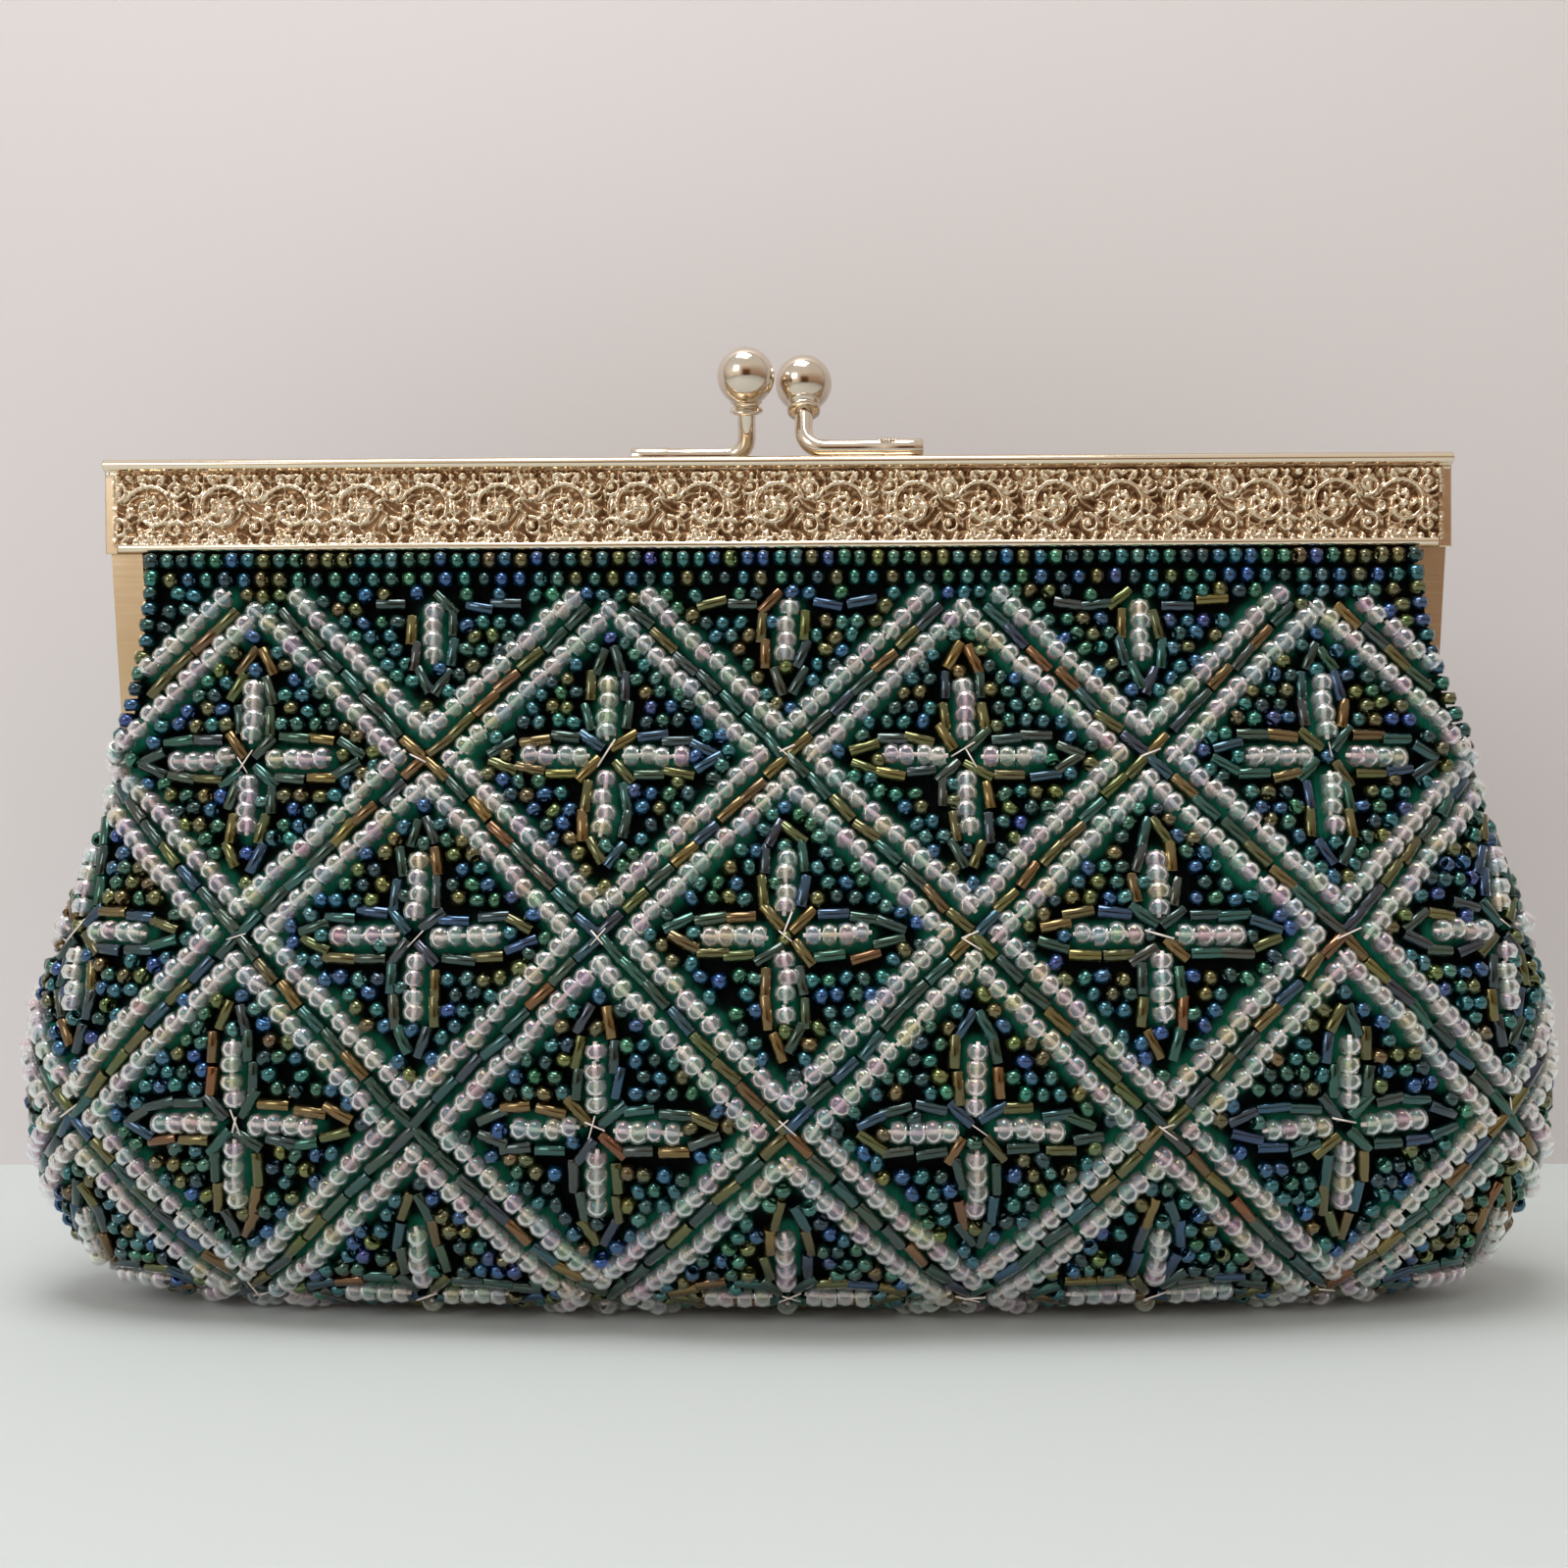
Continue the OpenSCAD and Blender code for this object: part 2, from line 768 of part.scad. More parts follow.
// Depth of the yoke's outer face at height z, at share s of its half width
function yoke_depth(z, s) =
    let (
        up = min((z - hinge_z) / (bar_low_z - bead_gap - hinge_z), 1),
        low = yoke_edge_d + (yoke_low_d - yoke_edge_d) * (1 - pow(abs(s), 4))
    )
        yoke_edge_d + (low - yoke_edge_d) * pow(1 - up, yoke_taper);

// Half width of the beaded part of a yoke at height z
function yoke_edge(z) = arm_x(z) - arm_face - bead_gap;

// Lift of column i in a yoke's row r: full beside the bar and the arms, none along the lower edge
function yoke_lift(r, i) =
    let (top = len(yoke_rows) + 1)
        abs(i) > yoke_cols || r >= top ? 1 : r == 0 ? 0 : trellis_lift(i, yoke_rows[r - 1]);

// Right half of a yoke row, from the tucked edge to the middle
function yoke_half_row(r, k) =
    let (
        z = yoke_levels[r],
        edge = yoke_edge(z),
        wide = min(yoke_cols * step_x, yoke_share * edge),
        inside = tuck_y - tuck_share[k] * tuck_t,
        tucked = r > len(yoke_rows) + 1
    )
        [
            [tuck_x(z), -inside, z],
            [edge + 0.05, -inside, z],
            for (i = [yoke_cols + 1:-1:0])
                let (
                    x = i > yoke_cols ? edge : wide * i / yoke_cols,
                    sunk = k > 0 ? layer[k] : trellis_rise * (1 - yoke_lift(r, i))
                )
                    [x, tucked ? -inside : -max(yoke_depth(z, x / edge) - sunk, inside), z]
        ];

// Surface of a yoke, k layers inside its outer face
function yoke_grid(k) = [
    for (r = [0:len(yoke_levels) - 1])
        let (half = yoke_half_row(r, k), last = len(half) - 1)
            [
                each half,
                for (c = [last - 1:-1:0]) [-half[c][0], half[c][1], half[c][2]]
            ]
];

// Lifts of a whole yoke, k layers in, with two columns of tucked edge on each side
function yoke_lifts(k) = [
    for (r = [0:len(yoke_levels) - 1])
        [for (i = [-yoke_cols - 3:yoke_cols + 3]) k > 0 ? 0 : yoke_lift(r, i)]
];

// One layer of a yoke, between two of its surfaces
module yoke_layer(k) {
    shell(yoke_grid(k), yoke_grid(k + 1), yoke_lifts(k));
}

module front_yoke_panel() {
    color("#22403c")
        yoke_layer(0);
}

module rear_yoke_panel() {
    color("#22403c")
        rotate([0, 0, 180])
            yoke_layer(0);
}

module front_yoke_interlining() {
    color("#c9c4b8")
        yoke_layer(1);
}

module rear_yoke_interlining() {
    color("#c9c4b8")
        rotate([0, 0, 180])
            yoke_layer(1);
}

module front_yoke_lining() {
    color("#1c1c22")
        yoke_layer(2);
}

module rear_yoke_lining() {
    color("#1c1c22")
        rotate([0, 0, 180])
            yoke_layer(2);
}

front_frame();
rear_frame();
front_embossed_band();
rear_embossed_band();
left_hinge_rivet();
right_hinge_rivet();
front_lock_post();
rear_lock_post();
front_lock_collar();
rear_lock_collar();
front_lock_ball();
rear_lock_ball();
front_paper_cord();
rear_paper_cord();
front_yoke_panel();
rear_yoke_panel();
front_yoke_interlining();
rear_yoke_interlining();
front_yoke_lining();
rear_yoke_lining();
pouch_front_panel();
pouch_rear_panel();
pouch_interlining();
pouch_lining();
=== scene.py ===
"""A hand-beaded evening purse on a kiss lock frame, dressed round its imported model.

The front of the purse looks along -Y.
"""
import math

import bpy
import numpy as np
from mathutils import Matrix, Vector


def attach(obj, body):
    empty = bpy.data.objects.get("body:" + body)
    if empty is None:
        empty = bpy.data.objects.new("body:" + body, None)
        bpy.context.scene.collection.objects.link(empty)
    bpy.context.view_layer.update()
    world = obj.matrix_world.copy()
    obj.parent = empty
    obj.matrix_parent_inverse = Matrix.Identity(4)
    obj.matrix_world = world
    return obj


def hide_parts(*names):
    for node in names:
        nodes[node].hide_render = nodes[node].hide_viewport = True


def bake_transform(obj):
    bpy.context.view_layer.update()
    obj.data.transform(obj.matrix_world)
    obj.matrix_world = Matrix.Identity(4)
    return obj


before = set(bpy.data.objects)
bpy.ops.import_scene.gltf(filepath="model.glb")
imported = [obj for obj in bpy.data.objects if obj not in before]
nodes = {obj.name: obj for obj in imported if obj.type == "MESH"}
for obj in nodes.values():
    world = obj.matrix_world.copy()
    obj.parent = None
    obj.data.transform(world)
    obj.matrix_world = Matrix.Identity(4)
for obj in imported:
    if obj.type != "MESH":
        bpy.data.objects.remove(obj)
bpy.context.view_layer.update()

MM = 0.001


# -------- camera

CAMERA_PLACE = (3.9, -226.7, 75.0)
CAMERA_LENS = 36.0
CAMERA_DOWN = 0.33
CAMERA_LEFT = 0.71
CAMERA_ROLL = 0.21


def add_camera():
    """The photograph's view: forward from its two angles, right level, up across both, then
    right and up turned together about the way it looks."""
    down, left, roll = (math.radians(a) for a in (CAMERA_DOWN, CAMERA_LEFT, CAMERA_ROLL))
    forward = Vector((-math.sin(left) * math.cos(down), math.cos(left) * math.cos(down),
                      -math.sin(down)))
    level = Vector((math.cos(left), math.sin(left), 0))
    upward = level.cross(forward)
    right = math.cos(roll) * level - math.sin(roll) * upward
    up = math.sin(roll) * level + math.cos(roll) * upward
    camera = bpy.data.objects.new("camera", bpy.data.cameras.new("camera"))
    bpy.context.scene.collection.objects.link(camera)
    turn = Matrix((right, up, -forward)).transposed()
    camera.matrix_world = Matrix.Translation(Vector(CAMERA_PLACE) * MM) @ turn.to_4x4()
    camera.data.sensor_width = 36.0
    camera.data.lens = CAMERA_LENS
    camera.data.clip_start = 0.01
    bpy.context.scene.camera = camera


add_camera()


# -------- materials

def linear(hex_colour):
    """The linear colour of an sRGB hex value."""
    parts = [int(hex_colour[i:i + 2], 16) / 255 for i in (1, 3, 5)]
    return tuple(c / 12.92 if c <= 0.04045 else ((c + 0.055) / 1.055) ** 2.4
                 for c in parts) + (1.0,)


def add_node(tree, kind, inputs=None, **settings):
    """Adds a shader node with its settings, and sets or links each of its inputs."""
    made = tree.nodes.new("ShaderNode" + kind)
    for name, value in settings.items():
        setattr(made, name, value)
    for name, value in (inputs or {}).items():
        if isinstance(value, bpy.types.NodeSocket):
            tree.links.new(value, made.inputs[name])
        else:
            made.inputs[name].default_value = value
    return made


def new_material(name):
    """An empty node material and its tree."""
    made = bpy.data.materials.new(name)
    made.use_nodes = True
    made.node_tree.nodes.clear()
    return made, made.node_tree


def surface(made, inputs):
    """Ends a material with one surface of these inputs."""
    shader = add_node(made.node_tree, "BsdfPrincipled", inputs)
    add_node(made.node_tree, "OutputMaterial", {"Surface": shader.outputs["BSDF"]})
    return made


def ramp(tree, factor, stops):
    """A colour ramp over (place, hex colour) stops."""
    made = add_node(tree, "ValToRGB", {"Fac": factor})
    band = made.color_ramp
    while len(band.elements) < len(stops):
        band.elements.new(0.5)
    for element, (place, colour) in zip(band.elements, stops):
        element.position = place
        element.color = linear(colour)
    return made.outputs["Color"]


def repeats(size):
    """How often a pattern of a real size in mm repeats over one metre."""
    return 1 / (size * MM)


def wave_scale(spacing):
    """The Wave texture's scale for bands at a real spacing in mm: one band takes 2 pi / 20
    of the texture's unit."""
    return math.pi / 10 * repeats(spacing)


def noise(tree, sizes, detail=2.0):
    """Noise over the object, its grain of a real size in mm along each axis."""
    place = add_node(tree, "TexCoord")
    stretched = add_node(tree, "Mapping", {
        "Vector": place.outputs["Object"], "Scale": tuple(repeats(size) for size in sizes)})
    made = add_node(tree, "TexNoise", {
        "Vector": stretched.outputs["Vector"], "Scale": 1.0, "Detail": detail})
    return made.outputs["Fac"]


def waves(tree, spacing, distortion, **settings):
    """Bands over the object at a real spacing in mm."""
    place = add_node(tree, "TexCoord")
    made = add_node(tree, "TexWave", {
        "Vector": place.outputs["Object"], "Scale": wave_scale(spacing),
        "Distortion": distortion}, **settings)
    return made.outputs["Fac"]


def bump(tree, height, strength, distance=0.0002):
    """The normal of a height pattern whose depth is a distance in metres."""
    made = add_node(tree, "Bump", {
        "Height": height, "Strength": strength, "Distance": distance})
    return made.outputs["Normal"]


def spread(tree, value, start, end, low=0.0, high=1.0):
    """A value between start and end laid out from low to high, and held there beyond."""
    made = add_node(tree, "MapRange", {
        "Value": value, "From Min": start, "From Max": end, "To Min": low, "To Max": high})
    return made.outputs["Result"]


def blended(tree, factor, first, second):
    """A colour between two: the first at 0, the second at 1."""
    made = add_node(tree, "Mix", {0: factor, 6: first, 7: second}, data_type="RGBA")
    return made.outputs[2]


def clear_crystal():
    """Clear pressed glass with an aurora coating: the green ground shows through it, and
    pink, blue and green pastels show where the coating's thickness changes."""
    made, tree = new_material("aurora_coated_clear_glass")
    tint = add_node(tree, "Attribute", attribute_name="tint").outputs
    return surface(made, {
        "Base Color": tint["Color"],
        "Roughness": 0.06,
        "IOR": 1.42,
        "Alpha": 0.76,
        "Transmission Weight": 0.84,
        "Thin Film Thickness": spread(tree, tint["Alpha"], 0.0, 1.0, 330.0, 620.0),
        "Thin Film IOR": 1.62})


def iris_glass(name, metallic, roughness, rim):
    """Dark glass with a fired metallic coat: strong tinted highlights, and another hue
    towards the bead's rim."""
    made, tree = new_material(name)
    tint = add_node(tree, "Attribute", attribute_name="tint").outputs["Color"]
    facing = add_node(tree, "LayerWeight", {"Blend": 0.35})
    turned = add_node(tree, "HueSaturation", {
        "Color": tint, "Hue": rim, "Saturation": 1.15, "Value": 0.8})
    return surface(made, {
        "Base Color": blended(tree, facing.outputs["Facing"], tint, turned.outputs["Color"]),
        "Metallic": metallic,
        "Roughness": roughness,
        "Coat Weight": 1.0,
        "Coat Roughness": 0.03})


def ground_cloth():
    """Near black green silk under the beads, with painted light: the green light that the
    crystals pass on to it is painted round them as a glow in its colour.
    """
    made, tree = new_material("dark_green_silk_ground")
    glow = add_node(tree, "Attribute", attribute_name="glow").outputs["Fac"]
    # Real silk has a thread each 0.15 mm; drawn at 0.7 mm, so that the weave shows.
    weave = waves(tree, 0.7, 1.0)
    return surface(made, {
        # Painted light: the glow attribute brightens the near black ground to green round the
        # crystals.
        "Base Color": ramp(tree, glow, [(0.0, "#030605"), (0.3, "#06201a"), (1.0, "#1a7a60")]),
        "Roughness": spread(tree, noise(tree, (1.1, 1.1, 1.1), 3.0), 0.0, 1.0, 0.75, 0.95),
        "Specular IOR Level": 0.08,
        "Normal": bump(tree, weave, 0.35)})


def satin_lining():
    """Dark satin: a soft streaked sheen along its close warp, painted as lighter streaks in
    its colour on top of the shader's own sheen.
    """
    made, tree = new_material("dark_green_satin")
    # A real warp thread is 0.1 mm wide; drawn at 0.7 mm and 11 mm long, so that it shows.
    warp = noise(tree, (0.7, 0.7, 11))
    return surface(made, {
        # Painted sheen: the lighter streaks of the colour follow the warp.
        "Base Color": ramp(tree, warp, [
            (0.3, "#101c1a"), (0.55, "#18302b"), (0.75, "#234a42")]),
        "Roughness": 0.38,
        "Anisotropic": 0.5,
        "Sheen Weight": 0.3,
        "Normal": bump(tree, warp, 0.25)})


def plated_metal(name, base, shade, roughness, scratch):
    """Pale gold plate on pressed brass: near mirror, with fine wiping scratches along X and
    a slight warm clouding of the plate."""
    made, tree = new_material(name)
    lines = noise(tree, (17, 0.45, 0.45), 3.0)
    return surface(made, {
        "Base Color": ramp(tree, noise(tree, (18, 18, 18), 4.0), [(0.3, shade), (0.7, base)]),
        "Metallic": 1.0,
        "Roughness": spread(tree, lines, 0.3, 0.7, roughness, roughness + 0.12),
        "Normal": bump(tree, lines, scratch, 0.00005)})


def pressed_metal():
    """Pale gold plate on pressed brass, its colour painted with light and shade: bright on the
    raised relief as a painted highlight, and dark brown in the sunk ground as painted shade,
    with a random speckle over both. The raised relief is also glossier."""
    made, tree = new_material("pale_gold_pressed_brass")
    raised = add_node(tree, "Attribute", attribute_name="raised").outputs["Fac"]
    # The relief's height with a random speckle, which sets its painted light and shade.
    relief_light_and_shade = add_node(tree, "Math", {0: raised, 1: noise(tree, (3.1, 3.1, 3.1), 3.0)},
                    operation="ADD")
    level = spread(tree, relief_light_and_shade.outputs["Value"], 0.35, 1.35)
    # Painted light and shade: the ramp runs from brown shade in the sunk ground to highlight
    # on the raised relief.
    return surface(made, {
        "Base Color": ramp(tree, level, [
            (0.0, "#5a3d28"), (0.3, "#a07e5c"), (0.55, "#d6bfa0"), (1.0, "#ecdcc4")]),
        "Metallic": 1.0,
        "Roughness": spread(tree, level, 0.0, 1.0, 0.34, 0.1)})


def twisted_paper():
    """Kraft paper cord: matt brown with the twist's fine diagonal lines."""
    made, tree = new_material("twisted_kraft_paper")
    twist = waves(tree, 0.63, 2.0, bands_direction="DIAGONAL")
    return surface(made, {
        "Base Color": ramp(tree, twist, [(0.2, "#8f7650"), (0.8, "#b99d72")]),
        "Roughness": 0.85,
        "Normal": bump(tree, twist, 0.5)})


def white_thread():
    """Waxed white polyester thread with a faint pink cast, finely twisted."""
    made, tree = new_material("waxed_white_thread")
    return surface(made, {
        "Base Color": ramp(tree, noise(tree, (0.4, 0.4, 0.4)), [
            (0.3, "#e3d2cc"), (0.7, "#fff6f2")]),
        "Roughness": 0.5,
        "Sheen Weight": 0.2})


# -------- meshes

def add_piece(name, points, faces, finish, smooth=True, colours=None, values=None,
              rear=False):
    """A mesh from points in mm and a list of face arrays, each of one corner count. The
    tint attribute takes a colour for each point, and values names another attribute and
    gives its number at each point. A rear piece is the mirrored copy."""
    if rear:
        points, faces = points * (1, -1, 1), [f[:, ::-1] for f in faces]
    mesh = bpy.data.meshes.new(name)
    corners = np.concatenate([f.ravel() for f in faces]).astype(np.int32)
    sizes = np.concatenate([np.full(len(f), f.shape[1]) for f in faces])
    starts = np.concatenate([[0], np.cumsum(sizes)[:-1]]).astype(np.int32)
    mesh.vertices.add(len(points))
    mesh.vertices.foreach_set("co", (points * MM).astype(np.float32).ravel())
    mesh.loops.add(len(corners))
    mesh.loops.foreach_set("vertex_index", corners)
    mesh.polygons.add(len(sizes))
    mesh.polygons.foreach_set("loop_start", starts)
    mesh.polygons.foreach_set("use_smooth", np.full(len(sizes), smooth))
    mesh.update(calc_edges=True)
    if colours is not None:
        made = mesh.attributes.new("tint", "FLOAT_COLOR", "POINT")
        made.data.foreach_set("color", colours.astype(np.float32).ravel())
    if values is not None:
        made = mesh.attributes.new(values[0], "FLOAT", "POINT")
        made.data.foreach_set("value", values[1].astype(np.float32).ravel())
    mesh.materials.append(finish)
    piece = bpy.data.objects.new(name, mesh)
    bpy.context.scene.collection.objects.link(piece)
    return piece


def grid_faces(rows, cols, round_rows=False, round_cols=False):
    """Quads of a grid of points that is rows by cols, joined up where it is round."""
    r = np.arange(rows if round_rows else rows - 1)[:, None]
    c = np.arange(cols if round_cols else cols - 1)[None, :]
    r2, c2 = (r + 1) % rows, (c + 1) % cols
    return np.stack([r * cols + c, r * cols + c2, r2 * cols + c2, r2 * cols + c],
                    axis=-1).reshape(-1, 4)


def border(rows, cols):
    """The indices of a grid's edge points, once round."""
    index = np.arange(rows * cols).reshape(rows, cols)
    return np.concatenate([index[0, :-1], index[:-1, -1], index[-1, :0:-1], index[:0:-1, 0]])


def slab(front, back):
    """A closed slab between two grids of points of one size: both grids, and a rim of quads
    joining their four edges. The front one is seen from outside with its rows running down
    and its columns to the right."""
    rows, cols = front.shape[:2]
    count = rows * cols
    face = grid_faces(rows, cols)
    loop = border(rows, cols)
    after = np.roll(loop, -1)
    rim = np.stack([loop, loop + count, after + count, after], axis=-1)
    points = np.concatenate([front.reshape(-1, 3), back.reshape(-1, 3)])
    return points, [face[:, ::-1], face + count, rim[:, ::-1]]


# -------- the cloth's shape

BAR_LOW_Z = 106.6
BELLY_Z = 31.0
BASE_Z = 3.1
BASE_HALF_D = 8.0
TOP_HALF_D = 4.9
BELLY_HALF_D = 21.3
# Half widths of the left and the right side
TOP_HALF_W = (89.2, 90.6)
BELLY_HALF_W = (106.0, 108.3)
BASE_HALF_W = (85.0, 87.0)
# How each side widens from bar to belly: the power of the share of the way down
SIDE_FALL = (1.3, 1.0)
# The superellipse powers of the corners: at the base's outline, and of a level row from the
# base up, with its gain between two levels
BASE_CORNER = 2.2
ROW_CORNER = 2.2
ROW_CORNER_GAIN = 0.9
ROW_CORNER_Z = (5, 90)
# Half the gap between the faces' side edges above the hinges, and where it opens
EDGE_HALF_D = 5.3
EDGE_Z = (72, 81)
CLOTH_T = 0.8
# The lining: how far in it lies, its thickness, its top inside the bar, and where it widens
# into the arms' channels, this far from the frame's outer side
LINING_GAP = 1.6
LINING_T = 0.4
LINING_TOP_Z = 118.0
LINING_ARM_Z = (74, 82)
ARM_WALL = 2.2
FRAME_HALF_W = 94.9
FRAME_TOP_Z = 120.0
ARM_LEAN = math.radians(3.2)
ROWS = 241
COLS = 301


def ease(u):
    """From 0 to 1 along half a cosine wave."""
    return (1 - np.cos(np.pi * np.clip(u, 0, 1))) / 2


def meridian(top_z, top_d, belly_d, base_d, base_z):
    """The middle line of one face, from its top down to the middle of the base: straight to
    the bar's lower edge, a half wave to the belly, a quarter ellipse to the base, then flat.
    Gives level, depth, the share of the way from bar to belly, the quarter's angle and the
    share across the base at each step."""
    down, under = np.linspace(top_z, BELLY_Z, 400), np.linspace(0, 1, 60)[1:]
    angle = np.linspace(0, np.pi / 2, 240)[1:]
    upper = np.clip((BAR_LOW_Z - down) / (BAR_LOW_Z - BELLY_Z), 0, 1)
    z = np.concatenate([down, BELLY_Z - (BELLY_Z - base_z) * np.sin(angle),
                        np.full(len(under), base_z)])
    d = np.concatenate([top_d + (belly_d - top_d) * ease(upper),
                        base_d + (belly_d - base_d) * np.cos(angle),
                        base_d * (1 - under)])
    fall = np.concatenate([upper, np.ones(len(angle)), np.ones(len(under))])
    turn = np.concatenate([np.zeros(len(upper)), angle, np.full(len(under), np.pi / 2)])
    across = np.concatenate([np.zeros(len(upper) + len(angle)), under])
    return z, d, fall, turn, across


def smooth_step(x, low, high):
    """From 0 at low to 1 at high with level ends."""
    u = np.clip((x - low) / (high - low), 0, 1)
    return u * u * (3 - 2 * u)


def lay_face(inset=0.0, top_z=BAR_LOW_Z, arm_edge=None):
    """One face of the purse as a grid of points. Each row lies level: half a superellipse
    from side to side, x = w |sin a|^(2/n), y = -(edge + (depth - edge) |cos a|^(2/n)), its
    points equally far apart along the row on each side of the middle. Rows are equally far
    apart down the middle line."""
    z, d, fall, turn, across = meridian(top_z, TOP_HALF_D - inset, BELLY_HALF_D - inset,
                                        BASE_HALF_D - inset / 2, BASE_Z + inset)
    step = np.hypot(np.diff(z), np.diff(d))
    along = np.concatenate([[0], np.cumsum(step)])
    t = np.linspace(0, along[-1], ROWS)
    z, d, fall, turn, across = (np.interp(t, along, v) for v in (z, d, fall, turn, across))
    outline = np.array([top + (belly - top) * ease(fall ** power)
                        for top, belly, power in zip(TOP_HALF_W, BELLY_HALF_W, SIDE_FALL)])
    base = np.array([[base] for base in BASE_HALF_W])
    tuck = np.clip(1 - np.sin(turn) ** BASE_CORNER, 0, 1) ** (1 / BASE_CORNER)
    half_w = np.where(turn > 0, base + (outline - base) * tuck, outline) - inset
    if arm_edge is not None:
        half_w = half_w + (arm_edge(z) - half_w) * smooth_step(z, *LINING_ARM_Z)
    edge = np.minimum((EDGE_HALF_D - inset) * smooth_step(z, *EDGE_Z), d)
    corner = ROW_CORNER + ROW_CORNER_GAIN * smooth_step(z, *ROW_CORNER_Z)
    a = np.linspace(0, np.pi / 2, 241)
    places, lengths = [], []
    for side, width in zip((-1, 1), half_w):
        x = width[:, None] * np.sin(a) ** (2 / corner[:, None])
        y = edge[:, None] + (d - edge)[:, None] * np.cos(a) ** (2 / corner[:, None])
        run = np.concatenate([np.zeros((ROWS, 1)),
                              np.cumsum(np.hypot(np.diff(x), np.diff(y)), axis=1)], axis=1)
        share = np.linspace(0, 1, COLS // 2 + 1)
        level = np.array([[np.interp(share * r[-1], r, v) for v in places_in]
                          for r, *places_in in zip(run, x, y)])
        places.append(np.stack([side * level[:, 0], -level[:, 1],
                                np.repeat(z[:, None], len(share), 1)], axis=-1))
        lengths.append(run[:, -1])
    grid = np.concatenate([places[0][:, :0:-1], places[1]], axis=1)
    return {"grid": sag(grid, across), "length": np.array(lengths), "step": t[1],
            "end": t[-1]}


def in_channel(z):
    """The lining's half width inside the frame's leaning arms at each level."""
    return FRAME_HALF_W - (FRAME_TOP_Z - z) * math.tan(ARM_LEAN) - ARM_WALL


def sag(grid, across):
    """Soft hollows and swells of a filled purse: three long waves over the face, half a
    millimetre high and 80 to 210 mm from crest to crest, fading at its edges, its top and
    its base."""
    x, z = grid[..., 0], grid[..., 2]
    fade = smooth_step(z, BASE_Z + 4, 26) * (1 - smooth_step(z, 84, 102))
    fade = fade * (1 - smooth_step(np.abs(x), 70, 96)) * (1 - across[:, None])
    swell = 0.5 * np.sin(x / 21 + 0.6) * np.sin(z / 15) + 0.4 * np.sin(x / 13 + z / 17)
    swell = swell + 0.5 * np.cos(x / 34 - z / 29)
    moved = grid.copy()
    moved[..., 1] -= swell * fade
    return moved


def on_face(face, s, t):
    """The place on a face at arc length s from the middle line and t down it."""
    row = np.clip(t / face["step"], 0, ROWS - 1.001)
    r = row.astype(int)
    f = row - r
    length = np.where(s < 0, *[(1 - f) * half[r] + f * half[r + 1]
                               for half in face["length"]])
    col = (np.clip(s / length, -1, 1) + 1) / 2 * (COLS - 1)
    c = np.minimum(col.astype(int), COLS - 2)
    g = (col - c)[:, None]
    f = f[:, None]
    grid = face["grid"]
    return ((1 - f) * ((1 - g) * grid[r, c] + g * grid[r, c + 1])
            + f * ((1 - g) * grid[r + 1, c] + g * grid[r + 1, c + 1]))


def room_on_face(face, s, t):
    """How far inside the row's end and the face's middle base line each place is."""
    row = np.clip(t / face["step"], 0, ROWS - 1.001)
    length = np.where(s < 0, *[np.interp(row, np.arange(ROWS), half)
                               for half in face["length"]])
    return np.minimum(length - np.abs(s), face["end"] - t)


def unit(v):
    """Each row of v at length one."""
    return v / np.maximum(np.linalg.norm(v, axis=-1, keepdims=True), 1e-9)


def bead_axes(face, s, t, turn):
    """Where beads lie on a face, with three axes each: along the thread, which is turn from
    the row towards the base, across it, and out of the cloth."""
    h = 0.6
    place = on_face(face, s, t)
    along_s = unit(on_face(face, s + h, t) - on_face(face, s - h, t))
    low, high = np.minimum(t + h, face["end"]), np.maximum(t - h, 0)
    along_t = unit(on_face(face, s, low) - on_face(face, s, high))
    out = unit(np.cross(along_t, along_s))
    axis = unit(np.cos(turn)[:, None] * along_s + np.sin(turn)[:, None] * along_t)
    return place, np.stack([axis, np.cross(out, axis), out], axis=1)


# -------- the bead pattern

# Half a trellis cell across and down, and where the first cell's middle lies
LATTICE_S = 24.7
LATTICE_T = 25.05
LATTICE_MIDDLE_S = 1.5
LATTICE_TOP_T = 4.95
# The crystals' diamond as a share of the cell
DIAMOND = 0.852
CRYSTALS_A_SIDE = 13
BUGLES_A_SIDE = 8
CRYSTAL_TOP_T = 6.4
ANGLES = np.radians([0, 90, 180, 270])


def lattice_cells():
    """Middles of the trellis cells: rows of cells two half widths apart, each next row half
    a cell across and one half height down."""
    return np.array([(LATTICE_MIDDLE_S + LATTICE_S * (2 * m + row % 2),
                      LATTICE_TOP_T + LATTICE_T * row)
                     for row in range(-1, 6) for m in range(-3, 4)])


def around(cells, s, t, turn):
    """Copies of one cell's beads about each cell's middle."""
    return (np.add.outer(cells[:, 0], s).ravel(), np.add.outer(cells[:, 1], t).ravel(),
            np.tile(turn, len(cells)))


def diamond_row():
    """Crystals of one cell's diamond: equal steps along its four sides."""
    corner_s = DIAMOND * LATTICE_S * np.array([1, 0, -1, 0, 1])
    corner_t = DIAMOND * LATTICE_T * np.array([0, 1, 0, -1, 0])
    steps = np.arange(4 * CRYSTALS_A_SIDE) / CRYSTALS_A_SIDE
    s, t = (np.interp(steps, np.arange(5), v) for v in (corner_s, corner_t))
    return s, t, np.arctan2(np.diff(corner_t), np.diff(corner_s))[steps.astype(int)]


def lattice_bugles():
    """Bugles of one cell's two lower trellis lines, end to end."""
    share = (np.arange(BUGLES_A_SIDE) + 0.5) / BUGLES_A_SIDE
    s = LATTICE_S * (1 - share)
    slope = math.atan2(LATTICE_T, LATTICE_S)
    return (np.concatenate([s, -s]), np.tile(LATTICE_T * share, 2),
            np.repeat([-slope, slope], BUGLES_A_SIDE))


